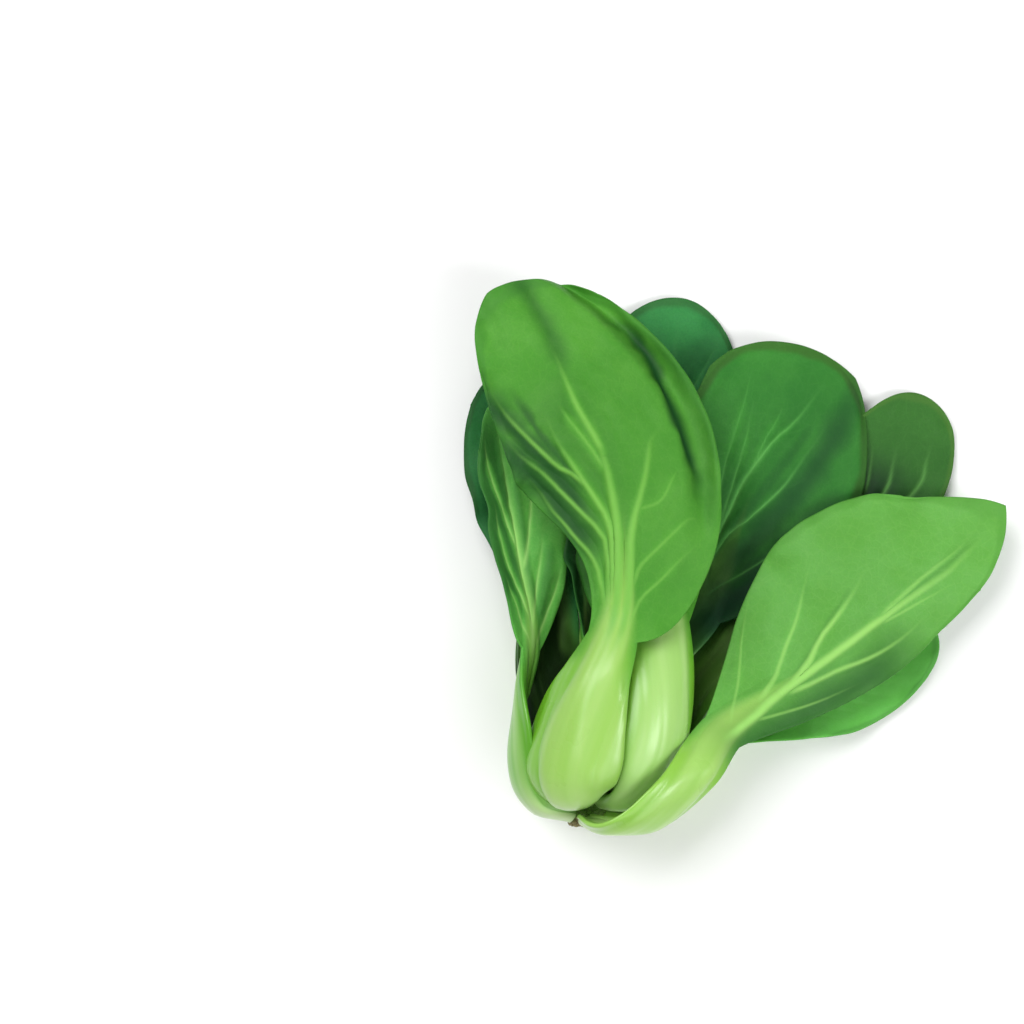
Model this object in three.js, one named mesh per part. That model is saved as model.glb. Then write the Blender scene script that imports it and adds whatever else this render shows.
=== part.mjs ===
// A head of green-stalked bok choy, cut at the root and lying on its back on a table.
// Lengths are in millimetres and angles in degrees. While the head is built, +Y runs from the cut
// to the leaf tips, +X to the right and +Z up from the table. At the end the whole head is moved so
// that its origin is on the table, under the middle of its bounding box.
import * as THREE from "three";

// Driving dimensions of the bulb, which the outer stalks form.
const BULB_RADIUS = 26.5; // from the bulb's axis to the middle of an outer stalk's thickness
const BULB_HEIGHT = 27.9; // the axis above the table
const FLATNESS = 0.95; // the lying bulb is a little lower than it is wide
const BELLY = 25; // from the cut to where the bulb is widest
const LAYER = 6.6; // from one ring of stalks to the next one inside it
const CROWN_X = -9; // the short stem stands a little to the left of the bulb's axis
const STALK_EDGE = 1.3; // thickness of a stalk's edges
const BLADE = 0.8; // thickness of the green blade between its veins
const RIB_TIP = 2; // half the width of a midrib at the leaf's tip

// How finely a leaf is divided, along it and across it.
const STALK_ROWS = 9;
const SHOULDER_ROWS = 6;
const TOP_ROWS = 6;
const COLUMNS = 10;

const LEAF_GREEN = 0x4f9a3c;
const DARK_GREEN = 0x2f7434;
const CUT_BROWN = 0x8f8a5c;

const radians = THREE.MathUtils.degToRad;

// The bulb's axis, which leans from the short stem to the middle of the bulb.
function axisAt(y) {
  const lean = THREE.MathUtils.smoothstep(y, 0, BELLY);
  return new THREE.Vector2(CROWN_X * (1 - lean), BULB_HEIGHT);
}

// The point at an angle round the bulb's axis (0 is up, 90 is to the right) and a distance from it.
function around(angle, radius, y) {
  const axis = axisAt(y);
  const turn = radians(angle);
  return [axis.x + radius * Math.sin(turn), y, axis.y + FLATNESS * radius * Math.cos(turn)];
}

// The bowl that each stalk follows from the short stem to the belly. Layer 0 is the outer ring.
// rise moves the stalk's root up the stem, and rootAngle moves it round the stem.
function bowl(angle, layer, rise = 0, rootAngle = angle) {
  const belly = BULB_RADIUS - LAYER * layer;
  const root = 9.8 - 1.8 * layer;
  const start = 5 + 5 * layer + rise;
  return [
    around(rootAngle, root, start),
    around((rootAngle + angle) / 2, root + 0.5 * (belly - root), start - 0.8),
    around(angle, 0.92 * belly, start + 6),
    around(angle, belly, start + 20),
  ];
}

// Each leaf's midrib goes through the points of its stalk and then of its blade.
// turn: the way its outer side faces, at the root, belly, neck, middle of the blade and tip.
// stalkHalf: the width of its left and right half at equal steps from root to neck. thick: its
// thickness there.
// half: half the blade's width, left and right of the midrib as seen from the outer side.
// shoulder: how the blade widens from the neck, left and right; under 1 is a broad lobe.
// bend: how far each half curls towards the inner side, at the neck, middle and tip.
// fold: how far the halves close like a book. ruffle: height, number and start of the edge's waves.
// hug: how closely each half of the stalk follows the bulb, 1 being round it.
// square: how full the corners of the blade's top are, 0.5 for an ellipse. point: length of the tip.
// crease: place and depth of a lengthwise valley in the right half of the blade.
const evenly = (widths) => [widths, widths];
const PLAIN = {
  colour: LEAF_GREEN,
  stalkHalf: evenly([7, 14.5, 19, 16, 12, 9]),
  thick: [5, 6.5, 8, 7, 5.5, 4],
  hug: [1, 1],
  shoulder: [0.8, 0.8],
  widest: 0.5,
  bend: [15, 12, 10],
  fold: [0, 0, 0],
  ruffle: [1.5, 5, 0],
  square: 0.5,
  point: 0,
  crease: [0.8, 0],
};
const YOUNG = {
  ...PLAIN,
  stalkHalf: evenly([5, 9, 12, 11, 9, 6.5]),
  thick: [3.5, 4.5, 5, 4.5, 3.5, 2.6],
  bend: [30, 30, 20],
  ruffle: [1, 5, 0],
  point: 2,
};

const LEAVES = [
  {
    ...PLAIN,
    name: "front_leaf",
    stalk: [...bowl(-26, -0.3, 3.5, -14), [-5, 48, 54], [1, 63, 51]],
    blade: [[4, 80, 48.5], [4.5, 105, 48], [0, 128, 47], [-11.5, 149, 44], [-27, 167.5, 40], [-43, 182, 35.5]],
    turn: [-16, -26, -10, 0, -3],
    stalkHalf: [
      [7, 15, 20.5, 18, 13, 9.5],
      [10.5, 16.5, 18.5, 15.5, 11.5, 8.5],
    ],
    hug: [0.85, 1],
    half: [35.5, 37],
    shoulder: [3, 0.35],
    widest: 0.48,
    bend: [22, 22, 15],
    ruffle: [0.8, 5, 100],
    point: 2,
    crease: [0.8, 5],
  },
  {
    ...PLAIN,
    name: "inner_front_leaf",
    stalk: [...bowl(50, 0.1, 2.5), [21.5, 48, 44], [20, 68, 38]],
    blade: [[17, 95, 35], [12, 125, 32], [5, 150, 29], [-3, 174, 26]],
    turn: [50, 50, 25, 8, 0],
    stalkHalf: [
      [6, 13.5, 19, 18, 15, 11],
      [7, 12.5, 16, 14.5, 11, 9],
    ],
    hug: [1.15, 1],
    half: [24, 24],
    bend: [20, 20, 10],
    ruffle: [1.5, 5, 100],
  },
  {
    ...PLAIN,
    name: "right_back_leaf",
    colour: DARK_GREEN,
    stalk: [...bowl(150, 1), [15, 52, 13], [31, 72, 11.5]],
    blade: [[42, 92, 9.5], [52, 118, 8.5], [58, 142, 11.2], [61, 166, 14]],
    turn: [150, 150, 165, 185, 190],
    stalkHalf: evenly([6, 12, 15, 13.5, 11, 8]),
    thick: [4.5, 5.5, 6.5, 6, 5, 4],
    half: [37, 32],
    widest: 0.55,
    bend: [18, 14, 15],
    square: 0.42,
  },
  {
    ...PLAIN,
    name: "top_back_leaf",
    colour: DARK_GREEN,
    stalk: [...bowl(186, 0), [2, 50, 3.4], [8, 75, 2.4]],
    blade: [[14, 100, 1.2], [19, 130, 0.6], [23, 158, 1], [25, 182, 3.5]],
    turn: [186, 186, 184, 182, 182],
    stalkHalf: [
      [7, 12, 15, 14, 11.5, 9],
      [5.8, 11.8, 15.5, 14.5, 11.5, 9],
    ],
    half: [26, 31],
    widest: 0.6,
    bend: [12, 6, 6],
    ruffle: [1, 5, 60],
  },
  {
    ...PLAIN,
    name: "far_right_leaf",
    colour: DARK_GREEN,
    stalk: [...bowl(115, 0), [33, 43, 14.5], [43, 56, 10]],
    blade: [[61, 77, 7], [81, 97, 4], [97, 117, 3], [106, 134, 3], [110, 148, 4]],
    turn: [115, 122, 160, 180, 183],
    stalkHalf: [
      [6, 10, 12, 11, 10, 9],
      [6.4, 11.6, 14.2, 13, 10.5, 9],
    ],
    half: [22, 22],
    shoulder: [0.8, 0.5],
    widest: 0.7,
    ruffle: [1, 5, 20],
  },
  {
    ...PLAIN,
    name: "low_right_leaf",
    stalk: [[-7, -1, 39], [3, -4, 44.5], [12, -1.5, 48], [21.5, 6.5, 49], [30.5, 17, 46], [39.5, 29, 37]],
    blade: [[61, 45, 27], [84, 61, 24], [103, 76, 21], [124, 91, 17.5], [140, 108, 14]],
    turn: [30, 38, 15, 5, 0],
    stalkHalf: [
      [7, 9.5, 11, 10.5, 9.5, 8.5],
      [4, 8.5, 10.5, 9.5, 8.5, 7.5],
    ],
    thick: [3.5, 5, 5.5, 5.5, 5, 4],
    hug: [0.6, 0.6],
    half: [43.5, 19.5],
    shoulder: [1.35, 1.1],
    widest: 0.49,
    bend: [12, 12, 10],
    ruffle: [1.2, 5, 80],
    point: 7,
  },
  {
    ...PLAIN,
    name: "under_right_leaf",
    stalk: [[2, -1, 27], [12, -3, 22], [22, 3, 16], [32, 15, 11], [42, 28, 8]],
    blade: [[58, 40, 6], [76, 48, 4], [93, 55, 3], [108, 63, 3], [114, 68, 3]],
    turn: [100, 120, 160, 180, 180],
    stalkHalf: evenly([6, 9, 10, 9, 8, 7]),
    thick: [4.5, 5.5, 6, 5.5, 5, 4],
    half: [23, 23],
    shoulder: [0.7, 0.7],
    ruffle: [1, 5, 20],
  },
  {
    ...PLAIN,
    name: "left_leaf",
    stalk: [
      [-17, -0.5, 33.5],
      [-25, 2.5, 35],
      [-30.5, 9.5, 35.5],
      [-32.7, 20, 35],
      [-32.6, 31, 34],
      [-30.5, 44, 32],
      [-28, 58, 30],
    ],
    blade: [[-28, 73, 28], [-33, 95, 25], [-37, 118, 24], [-41, 145, 25]],
    turn: [290, 283, 245, 212, 208],
    stalkHalf: [
      [7, 10, 11, 8.5, 6.5, 6],
      [4.5, 5.4, 7, 8.5, 8, 6],
    ],
    thick: [3.5, 4.5, 5, 4.5, 4.5, 3.5],
    half: [19, 17],
    bend: [10, 10, 10],
    fold: [10, 20, 10],
    ruffle: [1, 5, 0],
    point: 4,
  },
  {
    ...PLAIN,
    name: "back_left_leaf",
    colour: DARK_GREEN,
    stalk: [...bowl(247, 0.78, 1.2), [-22.5, 50, 17], [-23, 72, 14]],
    blade: [[-23, 95, 10.5], [-27, 118, 9], [-31, 140, 7.5], [-34, 158, 7]],
    turn: [247, 240, 203, 186, 182],
    stalkHalf: [
      [6.5, 11, 13, 12, 10.5, 8.5],
      [6.5, 9.5, 10.5, 9, 8.5, 8],
    ],
    half: [24, 24],
    widest: 0.55,
    ruffle: [1.5, 5, 120],
  },
  {
    ...YOUNG,
    name: "heart_leaf_1",
    stalk: [...bowl(10, 1.3, 3), [3.4, 50, 43], [5.4, 64, 38.2]],
    blade: [[5.4, 82, 32.5], [3.4, 102, 27.5], [1.4, 118, 24]],
    turn: [10, 10, 5, 0, 0],
    half: [17, 14],
  },
  {
    ...YOUNG,
    name: "heart_leaf_2",
    stalk: [...bowl(285, 1.7, 1), [-8, 50, 29], [-8, 64, 26]],
    blade: [[-5.5, 82, 20.5], [-4, 99, 16.5], [-3, 115, 14.5]],
    turn: [285, 280, 240, 205, 195],
    half: [14, 14],
  },
  {
    ...YOUNG,
    name: "heart_leaf_3",
    stalk: [...bowl(90, 2), [11, 52, 26], [13, 62, 24]],
    blade: [[15.5, 76, 19.5], [17.5, 90, 16.5], [18.5, 102, 15]],
    turn: [85, 85, 95, 130, 150],
    stalkHalf: evenly([4, 6, 8, 8, 6.5, 5]),
    thick: [3, 3.5, 4, 3.5, 3, 2.2],
    half: [10, 10],
    bend: [35, 35, 20],
    ruffle: [0.5, 5, 0],
  },
];

// The value at x of a line that goes smoothly through evenly spaced values, or through given places.
function along(values, x, places = values.map((_, i) => i / (values.length - 1))) {
  let i = 0;
  while (i < values.length - 2 && x > places[i + 1]) i += 1;
  const step = THREE.MathUtils.smoothstep(x, places[i], places[i + 1]);
  const straight = THREE.MathUtils.clamp((x - places[i]) / (places[i + 1] - places[i]), 0, 1);
  return THREE.MathUtils.lerp(values[i], values[i + 1], 0.5 * (step + straight));
}

// A leaf's midrib with what depends on the distance along it.
function spineOf(leaf) {
  const points = [...leaf.stalk, ...leaf.blade].map((p) => new THREE.Vector3(...p));
  const curve = new THREE.CatmullRomCurve3(points);
  const lengths = curve.getLengths(40 * (points.length - 1));
  const length = lengths[lengths.length - 1];
  const neck = lengths[40 * (leaf.stalk.length - 1)];
  const widest = neck + leaf.widest * (length - neck);
  return { curve, length, neck, widest };
}

// Row p and column q of the leaf laid out flat: the distance s along the midrib, and a across it.
// The top of the blade is half an ellipse, whose rows and columns bend with its outline.
function flatLeaf(leaf, spine, row, q) {
  const side = q < 0 ? 0 : 1;
  if (row <= STALK_ROWS) {
    const share = row / STALK_ROWS;
    const w = along(leaf.stalkHalf[side], share);
    return { s: share * spine.neck, a: q * w, w, margin: 0 };
  }
  const neckHalf = leaf.stalkHalf[side][leaf.stalkHalf[side].length - 1];
  if (row <= STALK_ROWS + SHOULDER_ROWS) {
    const share = (row - STALK_ROWS) / SHOULDER_ROWS;
    const widening = Math.sin((share * Math.PI) / 2) ** leaf.shoulder[side];
    const w = neckHalf + (leaf.half[side] - neckHalf) * widening;
    return { s: spine.neck + share * (spine.widest - spine.neck), a: q * w, w, margin: Math.abs(q) * share };
  }
  const up = (row - STALK_ROWS - SHOULDER_ROWS) / TOP_ROWS;
  const top = spine.length - spine.widest;
  const s = spine.widest + top * up * Math.sqrt(1 - leaf.square * q * q);
  const w = leaf.half[side];
  const a = w * q * Math.sqrt(1 - leaf.square * up * up);
  const reach = leaf.point * up ** 3 * (1 - Math.abs(q)) ** 1.5;
  return { s: s - leaf.point + reach, a, w, margin: Math.max(Math.abs(q), up) };
}

// The middle of the leaf's thickness at a row and column, in space.
function sheetPoint(leaf, spine, row, q) {
  const flat = flatLeaf(leaf, spine, row, q);
  const u = THREE.MathUtils.clamp(flat.s / spine.length, 0, 1);
  const centre = spine.curve.getPointAt(u);
  const tangent = spine.curve.getTangentAt(u);
  const neck = spine.neck / spine.length;
  const turn = radians(along(leaf.turn, u, [0, neck / 2, neck, (1 + neck) / 2, 1]));
  const across = new THREE.Vector3(Math.cos(turn), 0, -Math.sin(turn));
  across.addScaledVector(tangent, -across.dot(tangent)).normalize();
  const outward = new THREE.Vector3().crossVectors(across, tangent);

  // A stalk hugs the bulb, and a blade has a curl and a fold of its own.
  const blade = THREE.MathUtils.clamp((u - neck) / (1 - neck), 0, 1);
  const axis = axisAt(centre.y);
  const distance = Math.hypot(centre.x - axis.x, centre.z - axis.y);
  const hug = (leaf.hug[q < 0 ? 0 : 1] * flat.w) / Math.max(distance, flat.w);
  const curl = radians(along(leaf.bend, blade));
  const bend = THREE.MathUtils.lerp(hug, curl, THREE.MathUtils.smoothstep(u, 0.75 * neck, 1.15 * neck));
  const fold = radians(along(leaf.fold, blade)) * THREE.MathUtils.smoothstep(blade, 0, 0.2);
  const turning = bend / flat.w + 1e-6;
  const a = Math.abs(flat.a);
  const sideways = (Math.sin(fold + turning * a) - Math.sin(fold)) / turning;
  const inwards = (Math.cos(fold) - Math.cos(fold + turning * a)) / turning;

  const [height, waves, phase] = leaf.ruffle;
  const round = Math.atan2(flat.a, flat.s - spine.widest);
  const ruffle = height * flat.margin ** 3 * Math.sin(waves * round + radians(phase));
  const [place, depth] = leaf.crease;
  const beside = Math.max(0, 1 - Math.abs(q - place) / 0.2);
  const crease = depth * beside * THREE.MathUtils.smoothstep(flat.s, spine.neck + 15, spine.widest);
  centre.addScaledVector(across, Math.sign(q) * sideways);
  centre.addScaledVector(outward, ruffle - inwards - crease);
  return { point: centre, flat, blade };
}

// How thick the leaf is there: a lens across the stalk, and a rib that fades along the blade.
function thicknessAt(leaf, spine, sheet) {
  const { flat, blade } = sheet;
  const share = THREE.MathUtils.clamp(flat.s / spine.neck, 0, 1);
  const fading = Math.sqrt(blade);
  const middle = THREE.MathUtils.lerp(along(leaf.thick, share), BLADE, fading);
  const edge = THREE.MathUtils.lerp(STALK_EDGE, BLADE, THREE.MathUtils.smoothstep(share, 0.6, 1));
  const neckHalf = leaf.stalkHalf[flat.a < 0 ? 0 : 1][5];
  const ribHalf = blade > 0 ? THREE.MathUtils.lerp(neckHalf, RIB_TIP, fading) : flat.w;
  const rib = Math.max(0, 1 - (flat.a / ribHalf) ** 2);
  return edge + (middle - edge) * rib;
}

// The leaf as one closed solid: an outer and an inner face of like triangles, and the edge between.
function leafGeometry(leaf) {
  const spine = spineOf(leaf);
  const rows = STALK_ROWS + SHOULDER_ROWS + TOP_ROWS;
  const sheet = [];
  for (let row = 0; row <= rows; row += 1) {
    for (let column = 0; column <= COLUMNS; column += 1) {
      sheet.push(sheetPoint(leaf, spine, row, (2 * column) / COLUMNS - 1));
    }
  }
  const at = (row, column) => row * (COLUMNS + 1) + column;
  const point = (row, column) =>
    sheet[at(THREE.MathUtils.clamp(row, 0, rows), THREE.MathUtils.clamp(column, 0, COLUMNS))].point;

  const outer = [];
  const inner = [];
  for (let row = 0; row <= rows; row += 1) {
    for (let column = 0; column <= COLUMNS; column += 1) {
      const middle = sheet[at(row, column)];
      const across = new THREE.Vector3().subVectors(point(row, column + 1), point(row, column - 1));
      const up = new THREE.Vector3().subVectors(point(row + 1, column), point(row - 1, column));
      const normal = across.cross(up).normalize();
      const half = thicknessAt(leaf, spine, middle) / 2;
      outer.push(middle.point.clone().addScaledVector(normal, half));
      inner.push(middle.point.clone().addScaledVector(normal, -half));
    }
  }
  // Where the leaf would go through the table it lies flat on it instead.
  outer.forEach((p, i) => {
    const q = inner[i];
    const low = Math.min(p.z, q.z);
    const lift = low < 0 && sheet[i].blade > 0 ? -low : 0;
    p.z = Math.max(p.z + lift, 0);
    q.z = Math.max(q.z + lift, 0);
  });

  const vertices = [...outer, ...inner].flatMap((p) => p.toArray());
  const count = outer.length;
  const triangles = [];
  const quad = (a, b, c, d) => triangles.push(a, b, c, a, c, d);
  for (let row = 0; row < rows; row += 1) {
    for (let column = 0; column < COLUMNS; column += 1) {
      const a = at(row, column);
      const b = at(row, column + 1);
      const c = at(row + 1, column + 1);
      const d = at(row + 1, column);
      triangles.push(a, b, c, a, c, d);
      triangles.push(count + a, count + c, count + b, count + a, count + d, count + c);
    }
  }
  for (let row = 0; row < rows; row += 1) {
    quad(at(row + 1, 0), count + at(row + 1, 0), count + at(row, 0), at(row, 0));
    quad(at(row, COLUMNS), count + at(row, COLUMNS), count + at(row + 1, COLUMNS), at(row + 1, COLUMNS));
  }
  for (let column = 0; column < COLUMNS; column += 1) {
    quad(at(0, column), count + at(0, column), count + at(0, column + 1), at(0, column + 1));
    quad(at(rows, column + 1), count + at(rows, column + 1), count + at(rows, column), at(rows, column));
  }
  const geometry = new THREE.BufferGeometry();
  geometry.setAttribute("position", new THREE.Float32BufferAttribute(vertices, 3));
  geometry.setIndex(triangles);
  geometry.computeVertexNormals();
  return geometry;
}

// The short stem that all the leaves grow from, with its cut end.
function crownGeometry() {
  const profile = [
    [0, -4],
    [4.5, -4],
    [5.6, -3],
    [6.9, 0],
    [7.3, 2.5],
    [7.1, 5],
    [6.4, 8],
    [5.4, 12],
    [3.8, 17],
    [0, 21],
  ].map(([radius, y]) => new THREE.Vector2(radius, y));
  const geometry = new THREE.LatheGeometry(profile, 20);
  const position = geometry.getAttribute("position");
  for (let i = 0; i < position.count; i += 1) {
    const axis = axisAt(position.getY(i));
    position.setX(i, position.getX(i) + axis.x);
    position.setZ(i, position.getZ(i) + axis.y);
  }
  return geometry;
}

const head = new THREE.Group();
for (const leaf of LEAVES) {
  const mesh = new THREE.Mesh(
    leafGeometry(leaf),
    new THREE.MeshStandardMaterial({ color: leaf.colour, roughness: 0.45, metalness: 0 }),
  );
  mesh.name = leaf.name;
  head.add(mesh);
}

const crown = new THREE.Mesh(
  crownGeometry(),
  new THREE.MeshStandardMaterial({ color: CUT_BROWN, roughness: 0.8, metalness: 0 }),
);
crown.name = "crown";
head.add(crown);

// The origin goes on the table, under the middle of the head's bounding box.
const box = new THREE.Box3().setFromObject(head);
head.position.set(-(box.min.x + box.max.x) / 2, -(box.min.y + box.max.y) / 2, -box.min.z);

export default head;
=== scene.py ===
# %% [markdown]
# # A head of bok choy on a white table
#
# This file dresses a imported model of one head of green-stalked bok choy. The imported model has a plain
# solid for every leaf. Here each solid is replaced by a fine leaf with its rib, its veins, its pleats and
# its wavy rim, and the leaf gets the colours and the waxy shine of the real one.
#
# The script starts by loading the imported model. It is the fixed frame that everything is measured from.

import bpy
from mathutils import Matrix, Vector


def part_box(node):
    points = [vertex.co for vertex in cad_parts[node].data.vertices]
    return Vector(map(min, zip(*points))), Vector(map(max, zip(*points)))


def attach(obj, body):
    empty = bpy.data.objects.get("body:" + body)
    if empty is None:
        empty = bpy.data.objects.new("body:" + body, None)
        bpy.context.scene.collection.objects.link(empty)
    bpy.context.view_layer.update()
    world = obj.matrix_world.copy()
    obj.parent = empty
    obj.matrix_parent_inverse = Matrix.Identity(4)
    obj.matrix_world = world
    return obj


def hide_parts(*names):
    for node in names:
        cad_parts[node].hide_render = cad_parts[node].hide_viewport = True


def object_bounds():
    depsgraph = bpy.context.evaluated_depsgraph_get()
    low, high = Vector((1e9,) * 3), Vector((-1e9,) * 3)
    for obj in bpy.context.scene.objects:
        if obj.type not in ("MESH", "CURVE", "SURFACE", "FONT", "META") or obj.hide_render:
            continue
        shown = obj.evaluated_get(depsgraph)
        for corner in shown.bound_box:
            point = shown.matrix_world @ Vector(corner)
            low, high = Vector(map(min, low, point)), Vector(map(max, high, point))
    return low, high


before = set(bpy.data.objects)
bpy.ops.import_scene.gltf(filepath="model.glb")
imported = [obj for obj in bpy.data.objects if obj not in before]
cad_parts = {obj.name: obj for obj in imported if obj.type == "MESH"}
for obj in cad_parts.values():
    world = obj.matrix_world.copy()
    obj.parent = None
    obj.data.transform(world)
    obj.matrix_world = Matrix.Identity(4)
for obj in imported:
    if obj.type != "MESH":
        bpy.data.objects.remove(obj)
cad_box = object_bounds()
print("CAD nodes:", sorted(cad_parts))

# %% Tools and units
import math

import bmesh
import bpy
import numpy as np
from mathutils import Vector

MM = 0.001
print("CAD box in mm:", [round(c / MM, 1) for corner in cad_box for c in corner])

# %% [markdown]
# ## Where the head grows from
#
# A head of bok choy is laid out round its short stem, so that is where its measures start: X goes to the
# right of the stem, Y from the cut towards the leaf tips, and Z up from the table. The stem's cut end is
# a flat round face, so the middle of that face gives the place of these measures in the frame.

# %% The start of the head's measures
CUT_Y = -4
CROWN_X = -9
BULB_HEIGHT = 27.9
BULB_RADIUS = 26.5
FLATNESS = 0.95
BELLY = 25
LAYER = 6.6

stem_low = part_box("crown")[0]
cut_face = [v.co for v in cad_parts["crown"].data.vertices if v.co.y < stem_low.y + 0.01 * MM]
ORIGIN = np.mean(cut_face, axis=0) / MM - (CROWN_X, CUT_Y, BULB_HEIGHT)
print("the measures start at", ORIGIN.round(2), "mm in the frame")

# %% [markdown]
# ## The bulb that the outer stalks form
#
# The thick stalks of the outer leaves lean against each other and form a bulb. Seen along its length the
# bulb is nearly round, so each stalk's way is given as an angle round the bulb's axis, 0 being up and 90
# to the right. Layer 0 is the outer ring, and each further layer lies inside the one before it.

# %% The bulb
def smooth(x, low=0.0, high=1.0):
    """0 up to low, 1 from high, and a soft step between them."""
    t = np.clip((np.asarray(x, float) - low) / (high - low), 0, 1)
    return t * t * (3 - 2 * t)


def axis_at(y):
    """X and Z of the bulb's axis, which leans from the short stem to the middle of the bulb."""
    return CROWN_X * (1 - smooth(y, 0, BELLY)), BULB_HEIGHT


def around(angle, radius, y):
    x, z = axis_at(y)
    turn = math.radians(angle)
    return (x + radius * math.sin(turn), y, z + FLATNESS * radius * math.cos(turn))


def bowl(angle, layer, rise=0, root_angle=None):
    """The way of a stalk from the short stem to the widest part of the bulb."""
    root_angle = angle if root_angle is None else root_angle
    belly = BULB_RADIUS - LAYER * layer
    root = 9.8 - 1.8 * layer
    start = 5 + 5 * layer + rise
    return [
        around(root_angle, root, start),
        around((root_angle + angle) / 2, root + 0.5 * (belly - root), start - 0.8),
        around(angle, 0.92 * belly, start + 6),
        around(angle, belly, start + 20),
    ]


print("belly of the bulb:", 2 * BULB_RADIUS, "mm wide")

# %% [markdown]
# ## A smooth line through a few values
#
# Widths, angles and thicknesses are given at a few places along a leaf, and everything between them has to
# flow. A straight line between the values would leave a fold in the leaf at each of them, so a cubic line
# is used. The midrib is a curve through a few points in space, and it is cut into many short steps, so
# that a distance along it can be turned into a point.

# %% Smooth lines
STEPS = 120
EASE = 7
EVEN_STEP = 0.5


def along(values, x, places=None):
    """The value at x of a smooth line through the values, which are spread evenly if no places are given."""
    values = np.asarray(values, float)
    places = np.linspace(0, 1, len(values)) if places is None else np.asarray(places, float)
    slopes = np.gradient(values, places)
    x = np.clip(x, places[0], places[-1])
    i = np.clip(np.searchsorted(places, x, side="right") - 1, 0, len(values) - 2)
    gap = places[i + 1] - places[i]
    t = (x - places[i]) / gap
    ends = values[i] + (values[i + 1] - values[i]) * t * t * (3 - 2 * t)
    return ends + gap * t * (1 - t) * ((1 - t) * slopes[i] - t * slopes[i + 1])


def curve_through(points):
    """A curve through the points in small steps, with corners rounded more where the points are far apart."""
    p = np.array(points, float)
    p = np.vstack([2 * p[0] - p[1], p, 2 * p[-1] - p[-2]])
    t = np.linspace(0, 1, STEPS, endpoint=False)[:, None]
    pieces = []
    for before, start, end, after in zip(p, p[1:], p[2:], p[3:]):
        d0 = np.linalg.norm(start - before) ** 0.5
        d1 = np.linalg.norm(end - start) ** 0.5
        d2 = np.linalg.norm(after - end) ** 0.5
        leave = d1 * ((start - before) / d0 - (end - before) / (d0 + d1) + (end - start) / d1)
        arrive = d1 * ((end - start) / d1 - (after - start) / (d1 + d2) + (after - end) / d2)
        bow = 3 * (end - start) - 2 * leave - arrive
        pieces.append(start + t * leave + t**2 * bow + t**3 * (2 * (start - end) + leave + arrive))
    return np.vstack([*pieces, p[-2:-1]])


class Midrib:
    """A leaf's middle line, and how far along it the stalk ends, at the neck, and the blade is widest."""

    def __init__(self, leaf):
        self.points = curve_through([*leaf["stalk"], *leaf["blade"]])
        steps = np.linalg.norm(np.diff(self.points, axis=0), axis=1)
        self.distance = np.concatenate([[0], np.cumsum(steps)])
        self.length = self.distance[-1]
        self.neck = self.distance[STEPS * (len(leaf["stalk"]) - 1)]
        self.widest = self.neck + leaf["widest"] * (self.length - self.neck)
        self.headings = self.eased(np.gradient(self.points, self.distance, axis=0))

    def eased(self, headings):
        """The headings, averaged over EASE mm each way: a sudden turn shows far out on a wide blade."""
        even = np.arange(0, self.length, EVEN_STEP)
        reach = int(EASE / EVEN_STEP)
        weights = np.hanning(2 * reach + 1)
        weights /= weights.sum()
        table = np.pad(self.read(headings, even), ((reach, reach), (0, 0)), mode="edge")
        table = np.stack([np.convolve(table[:, k], weights, "valid") for k in range(3)], axis=-1)
        return np.stack([np.interp(self.distance, even, table[:, k]) for k in range(3)], axis=-1)

    def read(self, table, s):
        """The point or heading at the distance s."""
        return np.stack([np.interp(s, self.distance, table[:, k]) for k in range(3)], axis=-1)


print("smooth line test, 1 at the middle:", float(along([0, 1, 0], 0.5)))

# %% [markdown]
# ## The leaf laid out flat
#
# A leaf grows as a flat sheet that is then curled, so it is described the same way. Laid out flat, it has
# a distance s along the midrib and a distance a across it. The stalk's halves have given widths, the
# shoulders widen from the neck, and the top of the blade is half an ellipse. Rows and columns bend with
# the outline there, so that the rim is one smooth line all the way round. A wide lobe leaves the neck
# almost sideways, and START keeps it from being quite sideways, which would tear the sheet.

# %% The flat leaf
STALK_ROWS = 9
SHOULDER_ROWS = 6
TOP_ROWS = 6
START = 0.03
LAST_ROW = STALK_ROWS + SHOULDER_ROWS + TOP_ROWS


def halves(pair, q):
    """The left or the right value of a pair."""
    return np.where(q < 0, pair[0], pair[1])


def flowing(pair, q):
    """From the left value of a pair to the right one, softly, so that no step runs along the midrib."""
    return pair[0] + (pair[1] - pair[0]) * smooth(q, -0.2, 0.2)


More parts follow.
